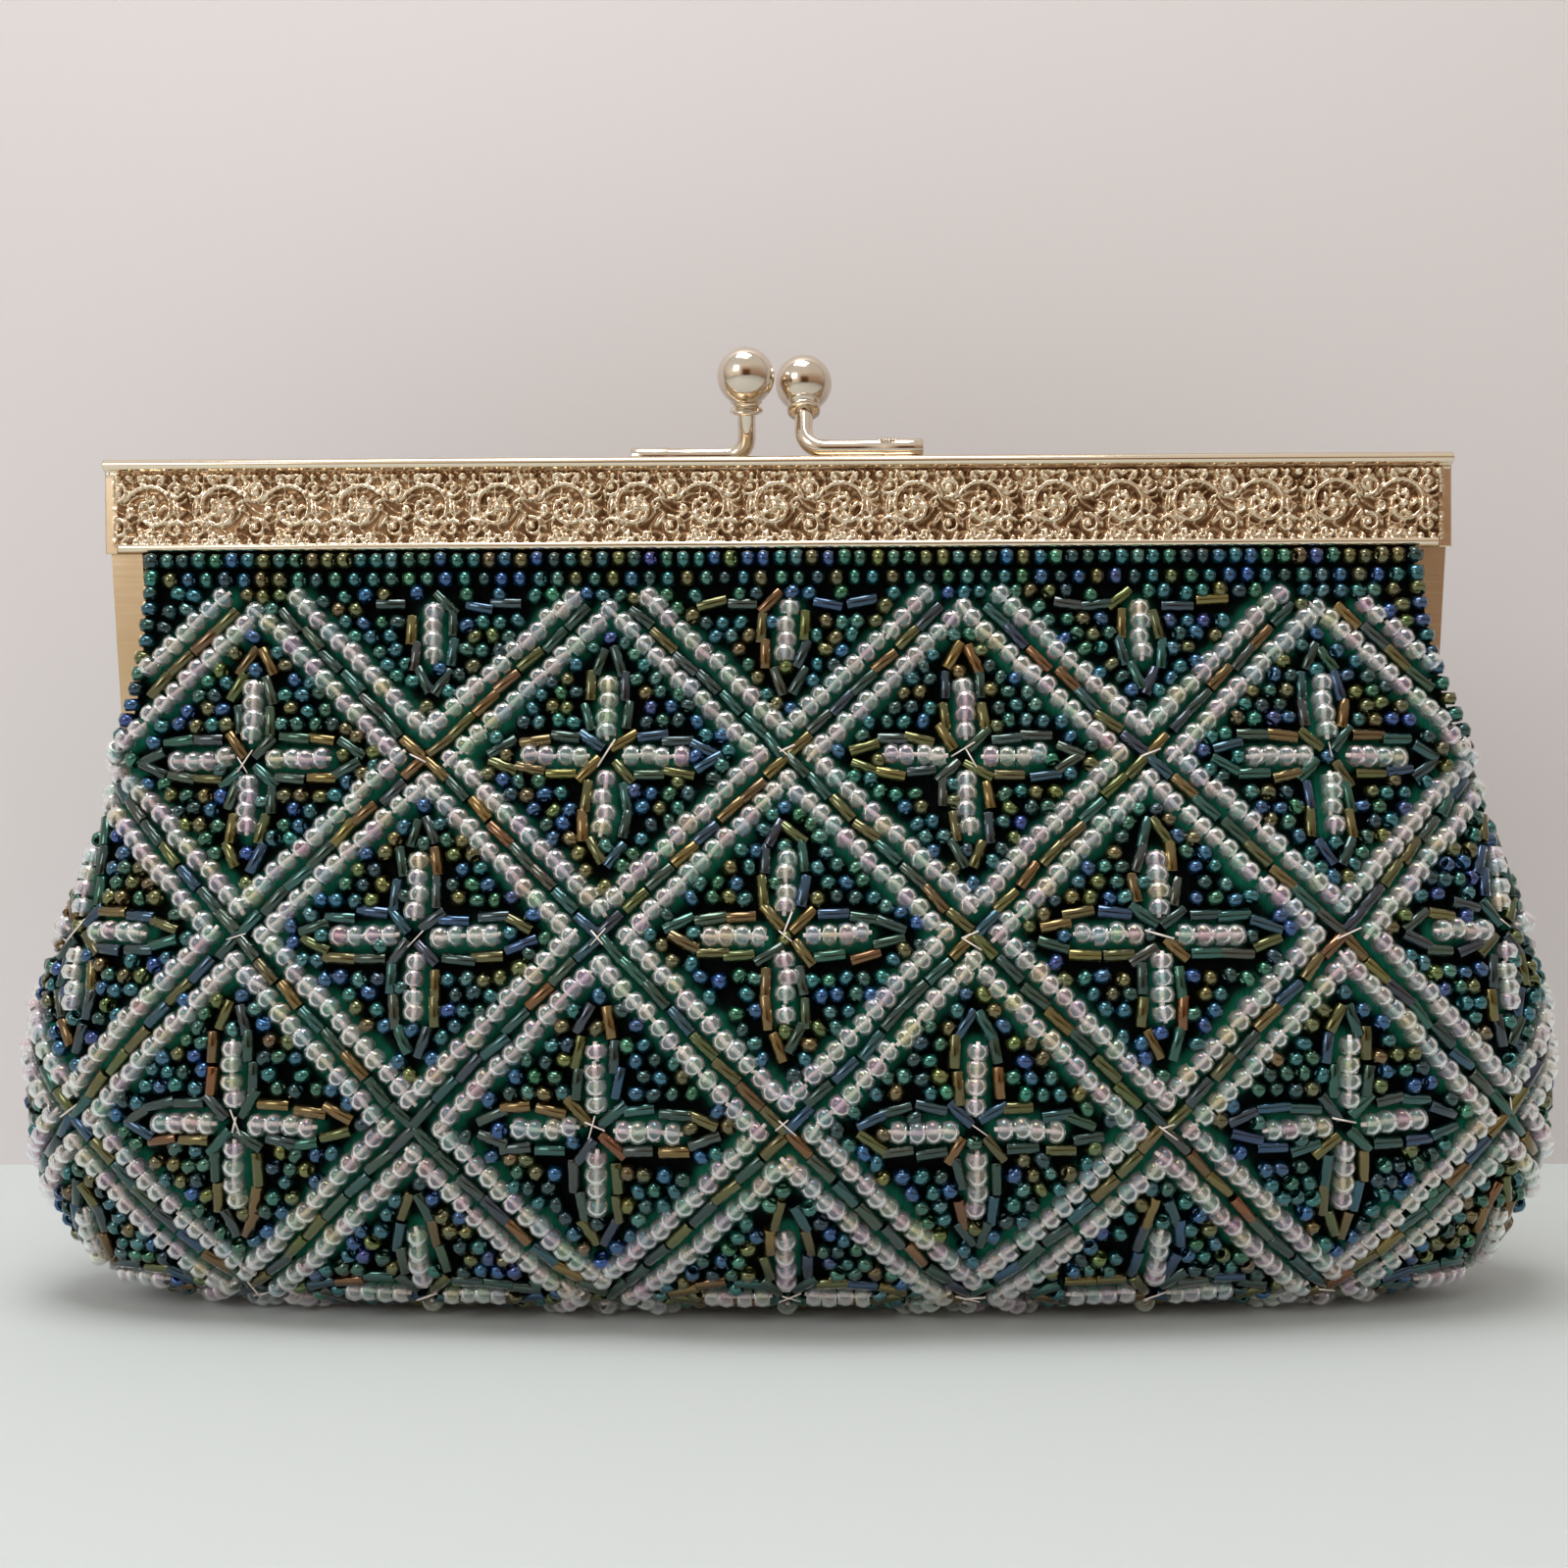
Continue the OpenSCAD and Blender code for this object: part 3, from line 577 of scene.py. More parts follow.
def turned(s, t, angle):
    """Places turned about the cell's middle."""
    return (s * np.cos(angle) - t * np.sin(angle), s * np.sin(angle) + t * np.cos(angle))


def petal_crystals():
    """Crystals of one flower: four in a line on each of its four petals."""
    r = 3.5 + 2.22 * np.arange(4)
    return gathered(*[turned(r, 0 * r, a) + (a + 0 * r,) for a in ANGLES])


def petal_bugles():
    """Bugles of one flower: three along each side of each petal, closing at its tip, and
    one between each two petals."""
    r = np.array([5.9, 5.9, 10.2, 10.2, 14.0, 14.0, 2.3])
    off = np.array([2.75, -2.75, 2.55, -2.55, 1.3, -1.3, 2.3])
    lean = np.radians([3, -3, -5, 5, -24, 24, 45])
    return gathered(*[turned(r, off, a) + (a + lean,) for a in ANGLES])


def gathered(*sets):
    """Several sets of beads as one."""
    return tuple(np.concatenate(v) for v in zip(*sets))


def keep(beads, *tests):
    """The beads for which every test holds."""
    held = np.logical_and.reduce(tests)
    return tuple(v[held] for v in beads)


def shaken(beads, rng, place, turn):
    """Beads moved and turned a little, as hand sewing leaves them."""
    s, t, a = beads
    return (s + rng.normal(0, place, len(s)), t + rng.normal(0, place, len(s)),
            a + rng.normal(0, turn, len(s)))


def nearest(points, others):
    """The square of each point's distance to the nearest of the others."""
    return np.concatenate([
        ((points[i:i + 2000, None] - others[None]) ** 2).sum(-1).min(1)
        for i in range(0, len(points), 2000)])


def clear_of(points, others, distance):
    """Which points are further than a distance from all the others."""
    return nearest(points, others) > distance ** 2


def thrown(points, distance):
    """Which points to keep so that no two are closer than a distance: each is taken in
    turn unless one already taken lies near it."""
    taken = {}
    held = np.zeros(len(points), bool)
    cells = np.floor(points / distance).astype(int)
    near = [(i, j, k) for i in (-1, 0, 1) for j in (-1, 0, 1) for k in (-1, 0, 1)]
    for n, (point, cell) in enumerate(zip(points, cells.tolist())):
        others = [p for i, j, k in near
                  for p in taken.get((cell[0] + i, cell[1] + j, cell[2] + k), ())]
        if all(((point - p) ** 2).sum() > distance ** 2 for p in others):
            taken.setdefault(tuple(cell), []).append(point)
            held[n] = True
    return held


# -------- bead shapes

def spun(along, radius, angles):
    """A profile of places along the X axis and radii, turned to each angle about it."""
    return np.stack([np.tile(along, (len(angles), 1)), np.outer(np.cos(angles), radius),
                     np.outer(np.sin(angles), radius)], axis=-1).reshape(-1, 3)


def ring(hole_r, outer_r, half_length, around_n, over_n, square=2.0):
    """A bead about the X axis: an oval of over_n points, half a bead wide and from the hole
    to the rim, turned through around_n places."""
    a = np.arange(around_n) * 2 * np.pi / around_n
    b = np.arange(over_n) * 2 * np.pi / over_n
    power = 2 / square
    across = np.sign(np.cos(b)) * np.abs(np.cos(b)) ** power
    along = np.sign(np.sin(b)) * np.abs(np.sin(b)) ** power
    radius = (hole_r + outer_r) / 2 + (outer_r - hole_r) / 2 * across
    return spun(half_length * along, radius, a), [grid_faces(around_n, over_n, True, True)]


def tube(hole_r, outer_r, half_length, sides):
    """A cut length of glass tube about the X axis: outside, cut ends and bore as rings of
    points at (place along, radius)."""
    profile = np.array([[-0.97, 1.0], [0.97, 1.0], [1.0, 0.93], [1.0, 0], [-1.0, 0],
                        [-1.0, 0.93]])
    radius = hole_r + (outer_r - hole_r) * profile[:, 1]
    a = (np.arange(sides) + 0.5) * 2 * np.pi / sides
    return (spun(half_length * profile[:, 0], radius, a),
            [grid_faces(sides, len(profile), True, True)[:, ::-1]])


def rod(radius, half_length, sides):
    """A thin closed prism about the X axis."""
    a = np.arange(sides) * 2 * np.pi / sides
    ends = [np.stack([np.full(sides, x), radius * np.cos(a), radius * np.sin(a)], axis=-1)
            for x in (-half_length, half_length)]
    side = grid_faces(2, sides, False, True)
    caps = np.stack([np.arange(sides)[::-1], np.arange(sides, 2 * sides)])
    return np.concatenate(ends), [side[:, ::-1], caps[:, ::-1]]


def strewn(shape, places, axes, sizes):
    """One mesh of many copies of a shape, each at its place on its axes and stretched by
    its three sizes."""
    points, faces = shape
    scaled = points[None] * sizes[:, None, :]
    moved = np.einsum("nij,njk->nik", scaled, axes) + places[:, None, :]
    first = (np.arange(len(places)) * len(points))[:, None, None]
    return moved.reshape(-1, 3), [(f[None] + first).reshape(-1, f.shape[1]) for f in faces]


def seated(face, beads, height, lowest, rng, tip):
    """Places and axes of beads on a face at a height above the cloth, tipped a little out
    of it, and none lower than it may lie on the table."""
    place, axes = bead_axes(face, *beads)
    place = place + axes[:, 2] * height
    place[:, 2] = np.maximum(place[:, 2], lowest)
    lift = rng.normal(0, tip, len(place))[:, None]
    axis = unit(axes[:, 0] + lift * axes[:, 2])
    out = unit(axes[:, 2] - lift * axes[:, 0])
    return place, np.stack([axis, np.cross(out, axis), out], axis=1)


def bead_colours(rng, count, palette, weights, spread, corners):
    """A colour for each bead, drawn from a palette and shifted a little, given to all its
    corners. The fourth value is the coating's thickness, from 0 to 1."""
    base = np.array([linear(c)[:3] for c in palette])
    drawn = base[rng.choice(len(base), count, p=np.array(weights) / sum(weights))]
    drawn = np.clip(drawn * np.exp(rng.normal(0, spread, (count, 3))), 0, 1)
    film = rng.random((count, 1))
    return np.repeat(np.concatenate([drawn, film], axis=1), corners, axis=0)


# Close rows of seeds, the least space between two, and the darts thrown for the rest
SEED_PITCH = 2.4
SEED_ROW = 2.1
SEED_SPACE = 1.95
SEED_DARTS = 40000
SEED_SHAKE = 0.16
# Strung rows under the bar: how far down, and the step from seed to seed
BAR_ROWS = ((1.2, 2.22), (3.95, 2.55))
# The least room to the face's edge, and the least distances between middles on the cloth
CRYSTAL_ROOM = 1.2
BUGLE_ROOM = 2.0
SEED_ROOM = 0.7
BUGLE_TO_STRUNG = 2.4
SEED_TO_STRUNG = 2.1
SEED_TO_CRYSTAL = 1.9
SEED_TO_BUGLE = 1.4
# Radius, half length and height of the middle above the cloth
CRYSTAL_R = 1.56
CRYSTAL_HALF = 1.12
CRYSTAL_LIFT = 1.5
SEED_R = 1.24
SEED_HALF = 0.93
SEED_LIFT = 1.12
BUGLE_R = 0.92
BUGLE_HALF = 2.12
BUGLE_LIFT = 1.15
# The bend between two faces from which a bugle's edge stays sharp
BUGLE_EDGE = math.radians(62)

CRYSTAL_TINTS = ["#ffffff", "#f3e8f4", "#e2f1f6", "#e3f6ec", "#fbf6dc", "#f6e2ee"]
CRYSTAL_SHARES = [5, 2, 2, 2, 1, 1]
SEED_TINTS = ["#286669", "#28557e", "#2d604f", "#64653a", "#5a5833", "#1c4042", "#34497a",
              "#44776f"]
SEED_SHARES = [7, 5, 4, 4, 2, 4, 1, 2]
BUGLE_TINTS = ["#54562a", "#664c24", "#20504c", "#22445c", "#38463f", "#2b3a44", "#6c5c2c",
               "#223f38"]
BUGLE_SHARES = [5, 2, 4, 3, 4, 2, 3, 5]


def sewn_beads(face, cells, rng):
    """The crystals and the bugles of the trellis and its flowers, hand sewn."""
    crystals = shaken(gathered(around(cells, *diamond_row()),
                               around(cells, *petal_crystals())), rng, 0.15, 0.1)
    crystals = keep(crystals, crystals[1] > CRYSTAL_TOP_T,
                    room_on_face(face, *crystals[:2]) > CRYSTAL_ROOM)
    bugles = gathered(shaken(around(cells, *lattice_bugles()), rng, 0.16, 0.07),
                      shaken(around(cells, *petal_bugles()), rng, 0.3, 0.13))
    bugles = keep(bugles, bugles[1] > CRYSTAL_TOP_T + 0.8,
                  room_on_face(face, *bugles[:2]) > BUGLE_ROOM)
    return crystals, bugles


def strung_seeds(face, rng):
    """Seeds strung in two rows along the bar and down both sides of the face."""
    rows = [level_row(face, t, pitch) for t, pitch in BAR_ROWS]
    rows += [edge_column(face, side) for side in (-1, 1)]
    return shaken(gathered(*rows), rng, 0.06, 0.05)


def filling_seeds(face, rng, strung_at, crystal_at, bugle_at):
    """Seeds turned any way on the ground that the other beads leave free."""
    s, t = close_rows(face, rng)
    inside = room_on_face(face, s, t) > SEED_ROOM
    s, t = s[inside], t[inside]
    flat = on_face(face, s, t)
    along = BUGLE_HALF * 0.8 * bugle_at[1][:, 0]
    bugle_points = np.concatenate([bugle_at[0] + along * k for k in (-1, -0.33, 0.33, 1)])
    bugle_rise = np.tile(bugle_at[1][:, 2] * BUGLE_LIFT, (4, 1))
    held = clear_of(flat, strung_at, SEED_TO_STRUNG)
    held &= clear_of(flat, crystal_at[0] - crystal_at[1][:, 2] * CRYSTAL_LIFT,
                     SEED_TO_CRYSTAL)
    held &= clear_of(flat, bugle_points - bugle_rise, SEED_TO_BUGLE)
    s, t, flat = s[held], t[held], flat[held]
    held = thrown(flat, SEED_SPACE)
    return s[held], t[held], rng.uniform(0, np.pi, held.sum())


def bead_side(name, rear, face, seed):
    """All the beads of one face: crystals, bugles, seeds and the threads that hold them.
    None lies lower than its own swelled radius above the table."""
    rng = np.random.default_rng(seed)
    cells = lattice_cells()
    crystals, bugles = sewn_beads(face, cells, rng)
    crystal_at = seated(face, crystals, CRYSTAL_LIFT, 1.1 * CRYSTAL_R, rng, 0.05)
    bugle_at = seated(face, bugles, BUGLE_LIFT, 1.1 * BUGLE_R, rng, 0.03)
    strung = strung_seeds(face, rng)
    strung_at = on_face(face, *strung[:2])
    free_bugle = clear_of(bugle_at[0], strung_at, BUGLE_TO_STRUNG)
    bugle_at = tuple(v[free_bugle] for v in bugle_at)
    filling = filling_seeds(face, rng, strung_at, crystal_at, bugle_at)
    seed_at = seated(face, gathered(strung, filling), SEED_LIFT, 1.14 * SEED_R, rng, 0.16)

    made = []
    for part, shape, at, finish, tints, shares, spread, size in (
            ("crystals", ring(0.42, CRYSTAL_R, CRYSTAL_HALF, 12, 6), crystal_at, "crystal",
             CRYSTAL_TINTS, CRYSTAL_SHARES, 0.03, 0.04),
            ("seeds", ring(0.4, SEED_R, SEED_HALF, 10, 5, 2.4), seed_at, "seed",
             SEED_TINTS, SEED_SHARES, 0.14, 0.06),
            ("bugles", tube(0.36, BUGLE_R, BUGLE_HALF, 7), bugle_at, "bugle",
             BUGLE_TINTS, BUGLE_SHARES, 0.12, 0.04),
            ("threads", rod(0.3, 1.3, 5), crystal_at, "thread",
             CRYSTAL_TINTS, CRYSTAL_SHARES, 0.0, 0.02),
            ("stitches", rod(0.11, 1.6, 5), stitches_at(face, cells, rng), "thread",
             CRYSTAL_TINTS, CRYSTAL_SHARES, 0.0, 0.2)):
        count = len(at[0])
        sizes = 1 + rng.normal(0, size, (count, 3)).clip(-2 * size, 2 * size)
        points, faces = strewn(shape, *at, sizes)
        colours = bead_colours(rng, count, tints, shares, spread, len(shape[0]))
        piece = add_piece(f"{name}_{part}", points, faces, finishes[finish],
                          colours=colours, rear=rear)
        if part == "bugles":
            piece.data.set_sharp_from_angle(angle=BUGLE_EDGE)
        made.append(piece)
    return made, crystal_at[0]


def stitches_at(face, cells, rng):
    """Where short threads cross on top of the beads, two at each crossing of the trellis
    and two at each flower's heart."""
    s, t = (np.concatenate([cells[:, i] + LATTICE_S * (i == 0), cells[:, i]]) for i in (0, 1))
    beads = (np.repeat(s, 2), np.repeat(t, 2), np.tile([0.7, -0.8], len(s)))
    beads = shaken(beads, rng, 0.5, 0.35)
    beads = keep(beads, beads[1] > CRYSTAL_TOP_T + 2, room_on_face(face, *beads[:2]) > 4,
                 rng.random(len(beads[0])) < 0.65)
    return seated(face, beads, 2.15, 0.4, rng, 0.12)


def close_rows(face, rng):
    """Where seeds may lie: close rows with every other one half a step across, each seed
    moved a little, then darts thrown at random for the places that the rows miss."""
    wide, high = face["length"].max(), face["end"]
    rows = np.arange(CRYSTAL_TOP_T - 0.3, high - 0.4, SEED_ROW)
    steps = np.arange(-wide, wide, SEED_PITCH)
    s = steps[None] + SEED_PITCH / 2 * (np.arange(len(rows)) % 2)[:, None]
    t = np.repeat(rows[:, None], len(steps), 1)
    s, t = (v.ravel() + rng.normal(0, SEED_SHAKE, v.size) for v in (s, t))
    return (np.concatenate([s, rng.uniform(-wide, wide, SEED_DARTS)]),
            np.concatenate([t, rng.uniform(CRYSTAL_TOP_T - 0.3, high - 0.4, SEED_DARTS)]))


def level_row(face, t, pitch):
    """Seeds strung along the bar at t down the face."""
    left, right = (np.interp(t, np.arange(ROWS) * face["step"], half) - 1.2
                   for half in face["length"])
    count = int((left + right) / pitch)
    s = np.linspace(-left, right, count)
    return s, np.full(count, t), np.zeros(count)


def edge_column(face, side):
    """Seeds strung down one side of the face, 1.1 mm inside the ends of its rows."""
    t = np.arange(3.4, face["end"] - 14, 2.3)
    half = face["length"][0 if side < 0 else 1]
    s = side * (np.interp(t, np.arange(ROWS) * face["step"], half) - 1.1)
    return s, t, np.full(len(t), np.pi / 2)


# -------- the embossed band

BAND_LOW_Z = 106.7
BAND_BACK_Y = -5.0
BAND_FACE_Y = -5.35
BLOCK_W = 19.6
FIELD_Z = 112.9


def bump_line(d, width):
    """A rounded ridge: one on its line, none beyond its width."""
    return np.sqrt(np.clip(1 - (d / width) ** 2, 0, 1))


def scroll_curl(u, v, cu, cv, radius, start, sweep, turns, width):
    """A curl: a ridge whose radius falls from its mouth to its eye as the angle goes round,
    with a small dome at the eye."""
    x, y = u - cu, v - cv
    r = np.hypot(x, y)
    angle = (np.arctan2(y, x) - start) * np.sign(sweep) % (2 * np.pi)
    height = np.zeros_like(u)
    span = abs(sweep)
    for lap in range(turns + 1):
        phase = angle + 2 * np.pi * lap
        line = radius * (1 - 0.78 * phase / span)
        ridge = bump_line(r - line, width) * (phase <= span) * (0.6 + 0.4 * line / radius)
        height = np.maximum(height, ridge)
    return np.maximum(height, bump_line(r, 0.24 * radius + 0.12))


def leaf(u, v, cu, cv, length, width, angle):
    """A pointed leaf: an oval dome with a groove down its middle."""
    c, s = math.cos(angle), math.sin(angle)
    x = ((u - cu) * c + (v - cv) * s) / length
    y = (-(u - cu) * s + (v - cv) * c) / width
    wide = np.clip(1 - x * x, 0.001, 1) ** 0.8
    dome = np.sqrt(np.clip(1 - x * x - (y / wide) ** 2, 0, 1))
    return dome * (1 - 0.45 * np.exp(-(y / 0.22) ** 2))


def rosette(u, v, cu, cv, hand):
    """A spiral rosette: a curling outer ridge, a wreath of petals and a domed heart."""
    x, y = u - cu, v - cv
    r, angle = np.hypot(x, y), np.arctan2(y, x) * hand
    outer = scroll_curl(u, v, cu, cv, 3.55, 0.6 if hand > 0 else 2.5, hand * 8.2, 2, 0.42)
    petals = bump_line(r - 1.35 - 0.28 * np.cos(5 * angle + 1.2), 0.55)
    petals = petals * (0.62 + 0.38 * np.cos(5 * angle))
    heart = bump_line(r, 0.72)
    return np.maximum.reduce([0.85 * outer * (r > 1.1), 0.9 * petals, heart])


# Place, radius, starting angle and sweep of each curl of a block
CURLS = [
    (-8.3, 2.9, 1.35, 3.6, 7.6), (-8.3, -2.9, 1.35, 2.7, -7.6),
    (8.3, 2.9, 1.35, -0.4, -7.6), (8.3, -2.9, 1.35, 0.4, 7.6),
    (0.0, 2.6, 1.5, 4.4, 7.9), (0.0, -2.7, 1.45, 1.9, -7.9),
    (-5.9, 4.0, 0.95, 0.2, 6.5), (-3.6, 4.05, 0.9, 2.9, -6.5),
    (3.7, 4.0, 0.95, 0.2, 6.5), (6.0, 4.05, 0.9, 2.9, -6.5),
    (-6.0, -4.0, 0.95, 0.2, -6.5), (-3.7, -4.0, 0.95, 2.9, 6.5),
    (3.6, -4.0, 0.9, 0.2, -6.5), (5.9, -4.0, 0.95, 2.9, 6.5),
    (-1.9, 0.3, 0.8, 1.2, 6.6), (1.7, -0.3, 0.8, 4.2, 6.6),
]
# Place, length, width and angle of each leaf of a block
LEAVES = [
    (-8.5, 0.2, 1.9, 0.6, 1.45), (8.5, -0.1, 1.9, 0.6, 1.7),
    (-1.4, 2.0, 1.5, 0.5, 2.2), (1.5, 1.9, 1.5, 0.5, 0.95),
    (-1.5, -1.8, 1.5, 0.5, 0.95), (1.4, -2.0, 1.5, 0.5, 2.2),
    (-7.2, 1.9, 1.1, 0.42, 0.8), (7.2, 1.9, 1.1, 0.42, 2.3),
    (-7.3, -1.8, 1.1, 0.42, 2.3), (7.3, -1.8, 1.1, 0.42, 0.8),
]


def band_relief(x, z):
    """How far the pressed band stands out at each place: a repeating block of two spiral
    rosettes, curls and leaves between scalloped edges of small domes, over a sunk ground,
    tendrils between them, and a plain bead above and below."""
    u = (x + BLOCK_W / 4) % BLOCK_W - BLOCK_W / 2
    v = z - FIELD_Z
    height = np.maximum(rosette(u, v, -4.9, 0.0, 1), rosette(u, v, 4.9, 0.0, -1))
    for curl in CURLS:
        height = np.maximum(height, 0.85 * scroll_curl(u, v, *curl, 1, 0.3))
    for blade in LEAVES:
        height = np.maximum(height, 0.8 * leaf(u, v, *blade))
    step = BLOCK_W / 12
    nearest = u - step * np.round(u / step)
    big = np.abs(np.abs(u) - BLOCK_W / 2) < step / 2
    dome_r = np.where(big, 0.72, 0.52)
    height = np.maximum(height, bump_line(np.hypot(nearest, v - 4.45), dome_r))
    low = u - step * (np.round(u / step - 0.5) + 0.5)
    height = np.maximum(height, 0.8 * bump_line(np.hypot(low, v + 4.55), 0.5))
    tendril = bump_line(np.sin(1.9 * u + 1.9 * np.sin(1.7 * v)) + np.sin(
        2.2 * v + 1.7 * np.sin(1.4 * u + 0.8)), 0.45)
    height = np.maximum(height, 0.5 * tendril)
    wander = 0.5 + 0.5 * np.sin(7.1 * u + 2 * np.sin(3.3 * v)) * np.sin(6.3 * v + u)
    inside = smooth_step(FRAME_HALF_W - 1.0 - np.abs(x), 0, 0.8)
    field = np.exp(-(np.clip(np.abs(v) - 4.75, 0, None) / 0.25) ** 2) * inside
    relief = (0.95 * height + 0.14 * wander - 0.14) * field
    top = 1.15 * bump_line(z - 119.1, 0.85)
    milgrain = 0.2 * bump_line(z - 117.95, 0.22) * (0.75 + 0.25 * np.cos(x * 2 * np.pi / 0.75))
    ends = smooth_step(FRAME_HALF_W - 1.6 - np.abs(x), 0, 0.5)
    low_bead = 0.85 * bump_line(z - 107.45, 0.7) * ends
    return np.maximum.reduce([relief, top, milgrain, low_bead])


def band_piece(name, rear, finish):
    """One pressed band: its relief as a grid, closed by a rim and a flat back."""
    x = np.linspace(-FRAME_HALF_W, FRAME_HALF_W, 1201)
    z = np.linspace(FRAME_TOP_Z, BAND_LOW_Z, 75)
    across, down = np.meshgrid(x, z)
    lift = band_relief(across, down)
    if rear:
        lift = lift[:, ::-1]
    front = np.stack([across, BAND_FACE_Y - lift, down], axis=-1)
    points = front.reshape(-1, 3)
    rows, cols = front.shape[:2]
    loop = border(rows, cols)
    behind = points[loop] * (1, 0, 1) + (0, BAND_BACK_Y, 0)
    ring_at = len(points) + np.arange(len(loop))
    rim = np.stack([loop, np.roll(loop, -1), np.roll(ring_at, -1), ring_at], axis=-1)
    faces = [grid_faces(rows, cols)[:, ::-1], rim, ring_at[None, :]]
    points = np.concatenate([points, behind])
    # The raised attribute sets the band's painted light and shade: the relief's height, and a
    # middle tone on the plain ends and on the back.
    plain_end = 0.6 * (np.abs(across) > FRAME_HALF_W - 1.6)
    raised = np.concatenate([np.clip(np.maximum(lift / 0.9, plain_end), 0, 1).ravel(),
                             np.full(len(behind), 0.6)])
    return add_piece(name, points, faces, finish, values=("raised", raised), rear=rear)


# -------- the kiss lock

BALL_CENTRE = np.array([4.13, 2.2, 132.0])
FOOT_LINE = np.array([4.13, -2.65, 121.5])
FOOT_END = 21.1
BEND_R = 3.0
WIRE_R = 1.3
# The bend between two faces from which an edge of the lock stays sharp
LOCK_EDGE = math.radians(50)


def swept(path, radii, flat, sides=20):
    """A closed rod along a path that lies in one plane: a circle at each step of the path,
    at its own radius, on the plane's normal and the line square to it and the path."""
    along = unit(np.gradient(path, axis=0))
    across = unit(np.cross(flat, along))
    a = np.arange(sides)[None, :, None] * 2 * np.pi / sides
    rings = path[:, None] + radii[:, None, None] * (np.cos(a) * flat
                                                    + np.sin(a) * across[:, None])
    caps = np.stack([np.arange(sides)[::-1], np.arange(sides) + (len(path) - 1) * sides])
    return outward(rings.reshape(-1, 3), [grid_faces(len(path), sides, False, True), caps])


def outward(points, faces):
    """A closed shell with its faces turned outwards: the volume under them, summed as
    tetrahedra from the origin, has to come out above zero."""
    volume = sum(np.einsum("ij,ij->", points[f[:, 0]],
                           np.cross(points[f[:, i]], points[f[:, i + 1]]))
                 for f in faces for i in range(1, f.shape[1] - 1))
    return points, faces if volume > 0 else [f[:, ::-1] for f in faces]


def joined(*shells):
    """Several closed shells as one mesh."""
    firsts = np.cumsum([0] + [len(points) for points, _ in shells[:-1]])
    return (np.concatenate([points for points, _ in shells]),
            [f + first for (_, faces), first in zip(shells, firsts) for f in faces])


def along_x(low, high, y, z, count=24):
    """Points on a line along X."""
    return np.stack([np.linspace(low, high, count), np.full(count, y), np.full(count, z)],
                    axis=-1)


def lock_post():
    """The front half's bent wire: a blunt foot along X with a thicker outer part, a quarter
    circle and a leaning shank up into the ball. A low seam of solder holds the foot down,
    and a rough drop of it lies on the foot's side."""
    up = unit(BALL_CENTRE - FOOT_LINE)
    out = np.array([1.0, 0, 0])
    reach = np.linalg.norm(BALL_CENTRE - FOOT_LINE)
    far = FOOT_END - FOOT_LINE[0]
    foot = np.array([far, far - 0.02, far - 0.15, far - 2, 11.6, 11.4, 7, BEND_R + 0.2])
    turn = np.linspace(0, np.pi / 2, 14)[:, None]
    bend = BEND_R * (out + up) - BEND_R * (np.sin(turn) * out + np.cos(turn) * up)
    shank = np.array([BEND_R + 0.2, 5, reach - 5, reach - 3])
    path = FOOT_LINE + np.concatenate([foot[:, None] * out, bend, shank[:, None] * up])
    radii = np.full(len(path), WIRE_R)
    radii[:5] = (0.9, 1.28, 1.4, 1.4, 1.4)
    wire = swept(path, radii, np.cross(out, up))
    seam = along_x(6.5, 19.6, FOOT_LINE[1], 120.1)
    under = 0.95 * np.sin(np.linspace(0.02, np.pi - 0.02, 24)) ** 0.25
    drop = along_x(14.6, 17.6, FOOT_LINE[1] - 0.85, FOOT_LINE[2] + 0.85)
    lump = 0.5 * np.sin(np.linspace(0.03, np.pi - 0.03, 24)) ** 0.5
    lump = lump * (1 + 0.22 * np.sin(np.arange(24) * 1.9))
    side = np.array([0, 1.0, 0])
    return joined(wire, swept(seam, under, side), swept(drop, lump, side, 10))


def lock_collar():
    """The front half's turned collar: two round flanges and the neck between them, as a
    radius at each distance from the ball's middle along the shank."""
    up = unit(BALL_CENTRE - FOOT_LINE)
    shape = np.array([[2.9, 1.5], [3.1, 2.0], [3.3, 2.25], [3.55, 2.32], [3.8, 2.22],
                      [3.95, 1.95], [4.15, 1.82], [4.35, 1.95], [4.5, 2.25], [4.75, 2.42],
                      [5.0, 2.36], [5.2, 2.05], [5.28, 1.4], [5.3, 0.4]])
    path = BALL_CENTRE - np.repeat(shape[:, :1], 3, 1) * up
    return swept(path, shape[:, 1], np.array([1.0, 0, 0]), 40)


def add_lock(side, rear):
    """One side's post and collar. The rear half's are the front half's turned half round."""
    for name, node, (points, faces) in (("bent_post", "lock_post", lock_post()),
                                        ("turned_collar", "lock_collar", lock_collar())):
        if rear:
            points = points * (-1, -1, 1)
        piece = add_piece(f"{side}_{name}", points, faces, finishes["lock"])
        piece.data.set_sharp_from_angle(angle=LOCK_EDGE)
        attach(piece, f"{side}_half")
        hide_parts(f"{side}_{node}")


# -------- making the purse

finishes = {
    "crystal": clear_crystal(),
    "seed": iris_glass("iris_coated_seed_glass", 0.85, 0.15, 0.48),
    "bugle": iris_glass("iris_coated_bugle_glass", 0.9, 0.15, 0.49),
    "thread": white_thread(),
    "ground": ground_cloth(),
    "lining": satin_lining(),
    "frame": plated_metal("pale_gold_plated_brass", "#d8c8ae", "#c6b090", 0.16, 0.12),
    "band": pressed_metal(),
    "lock": plated_metal("polished_nickel_gold_plate", "#e0d5c6", "#d6c8b6", 0.04, 0.02),
    "rivet": plated_metal("plated_steel", "#c9c2b6", "#a99f90", 0.22, 0.1),
    "paper": twisted_paper(),
}

# Where the crystals' painted glow on the ground starts to fall, and how fast
GLOW_START = 1.7
GLOW_WIDTH = 1.1


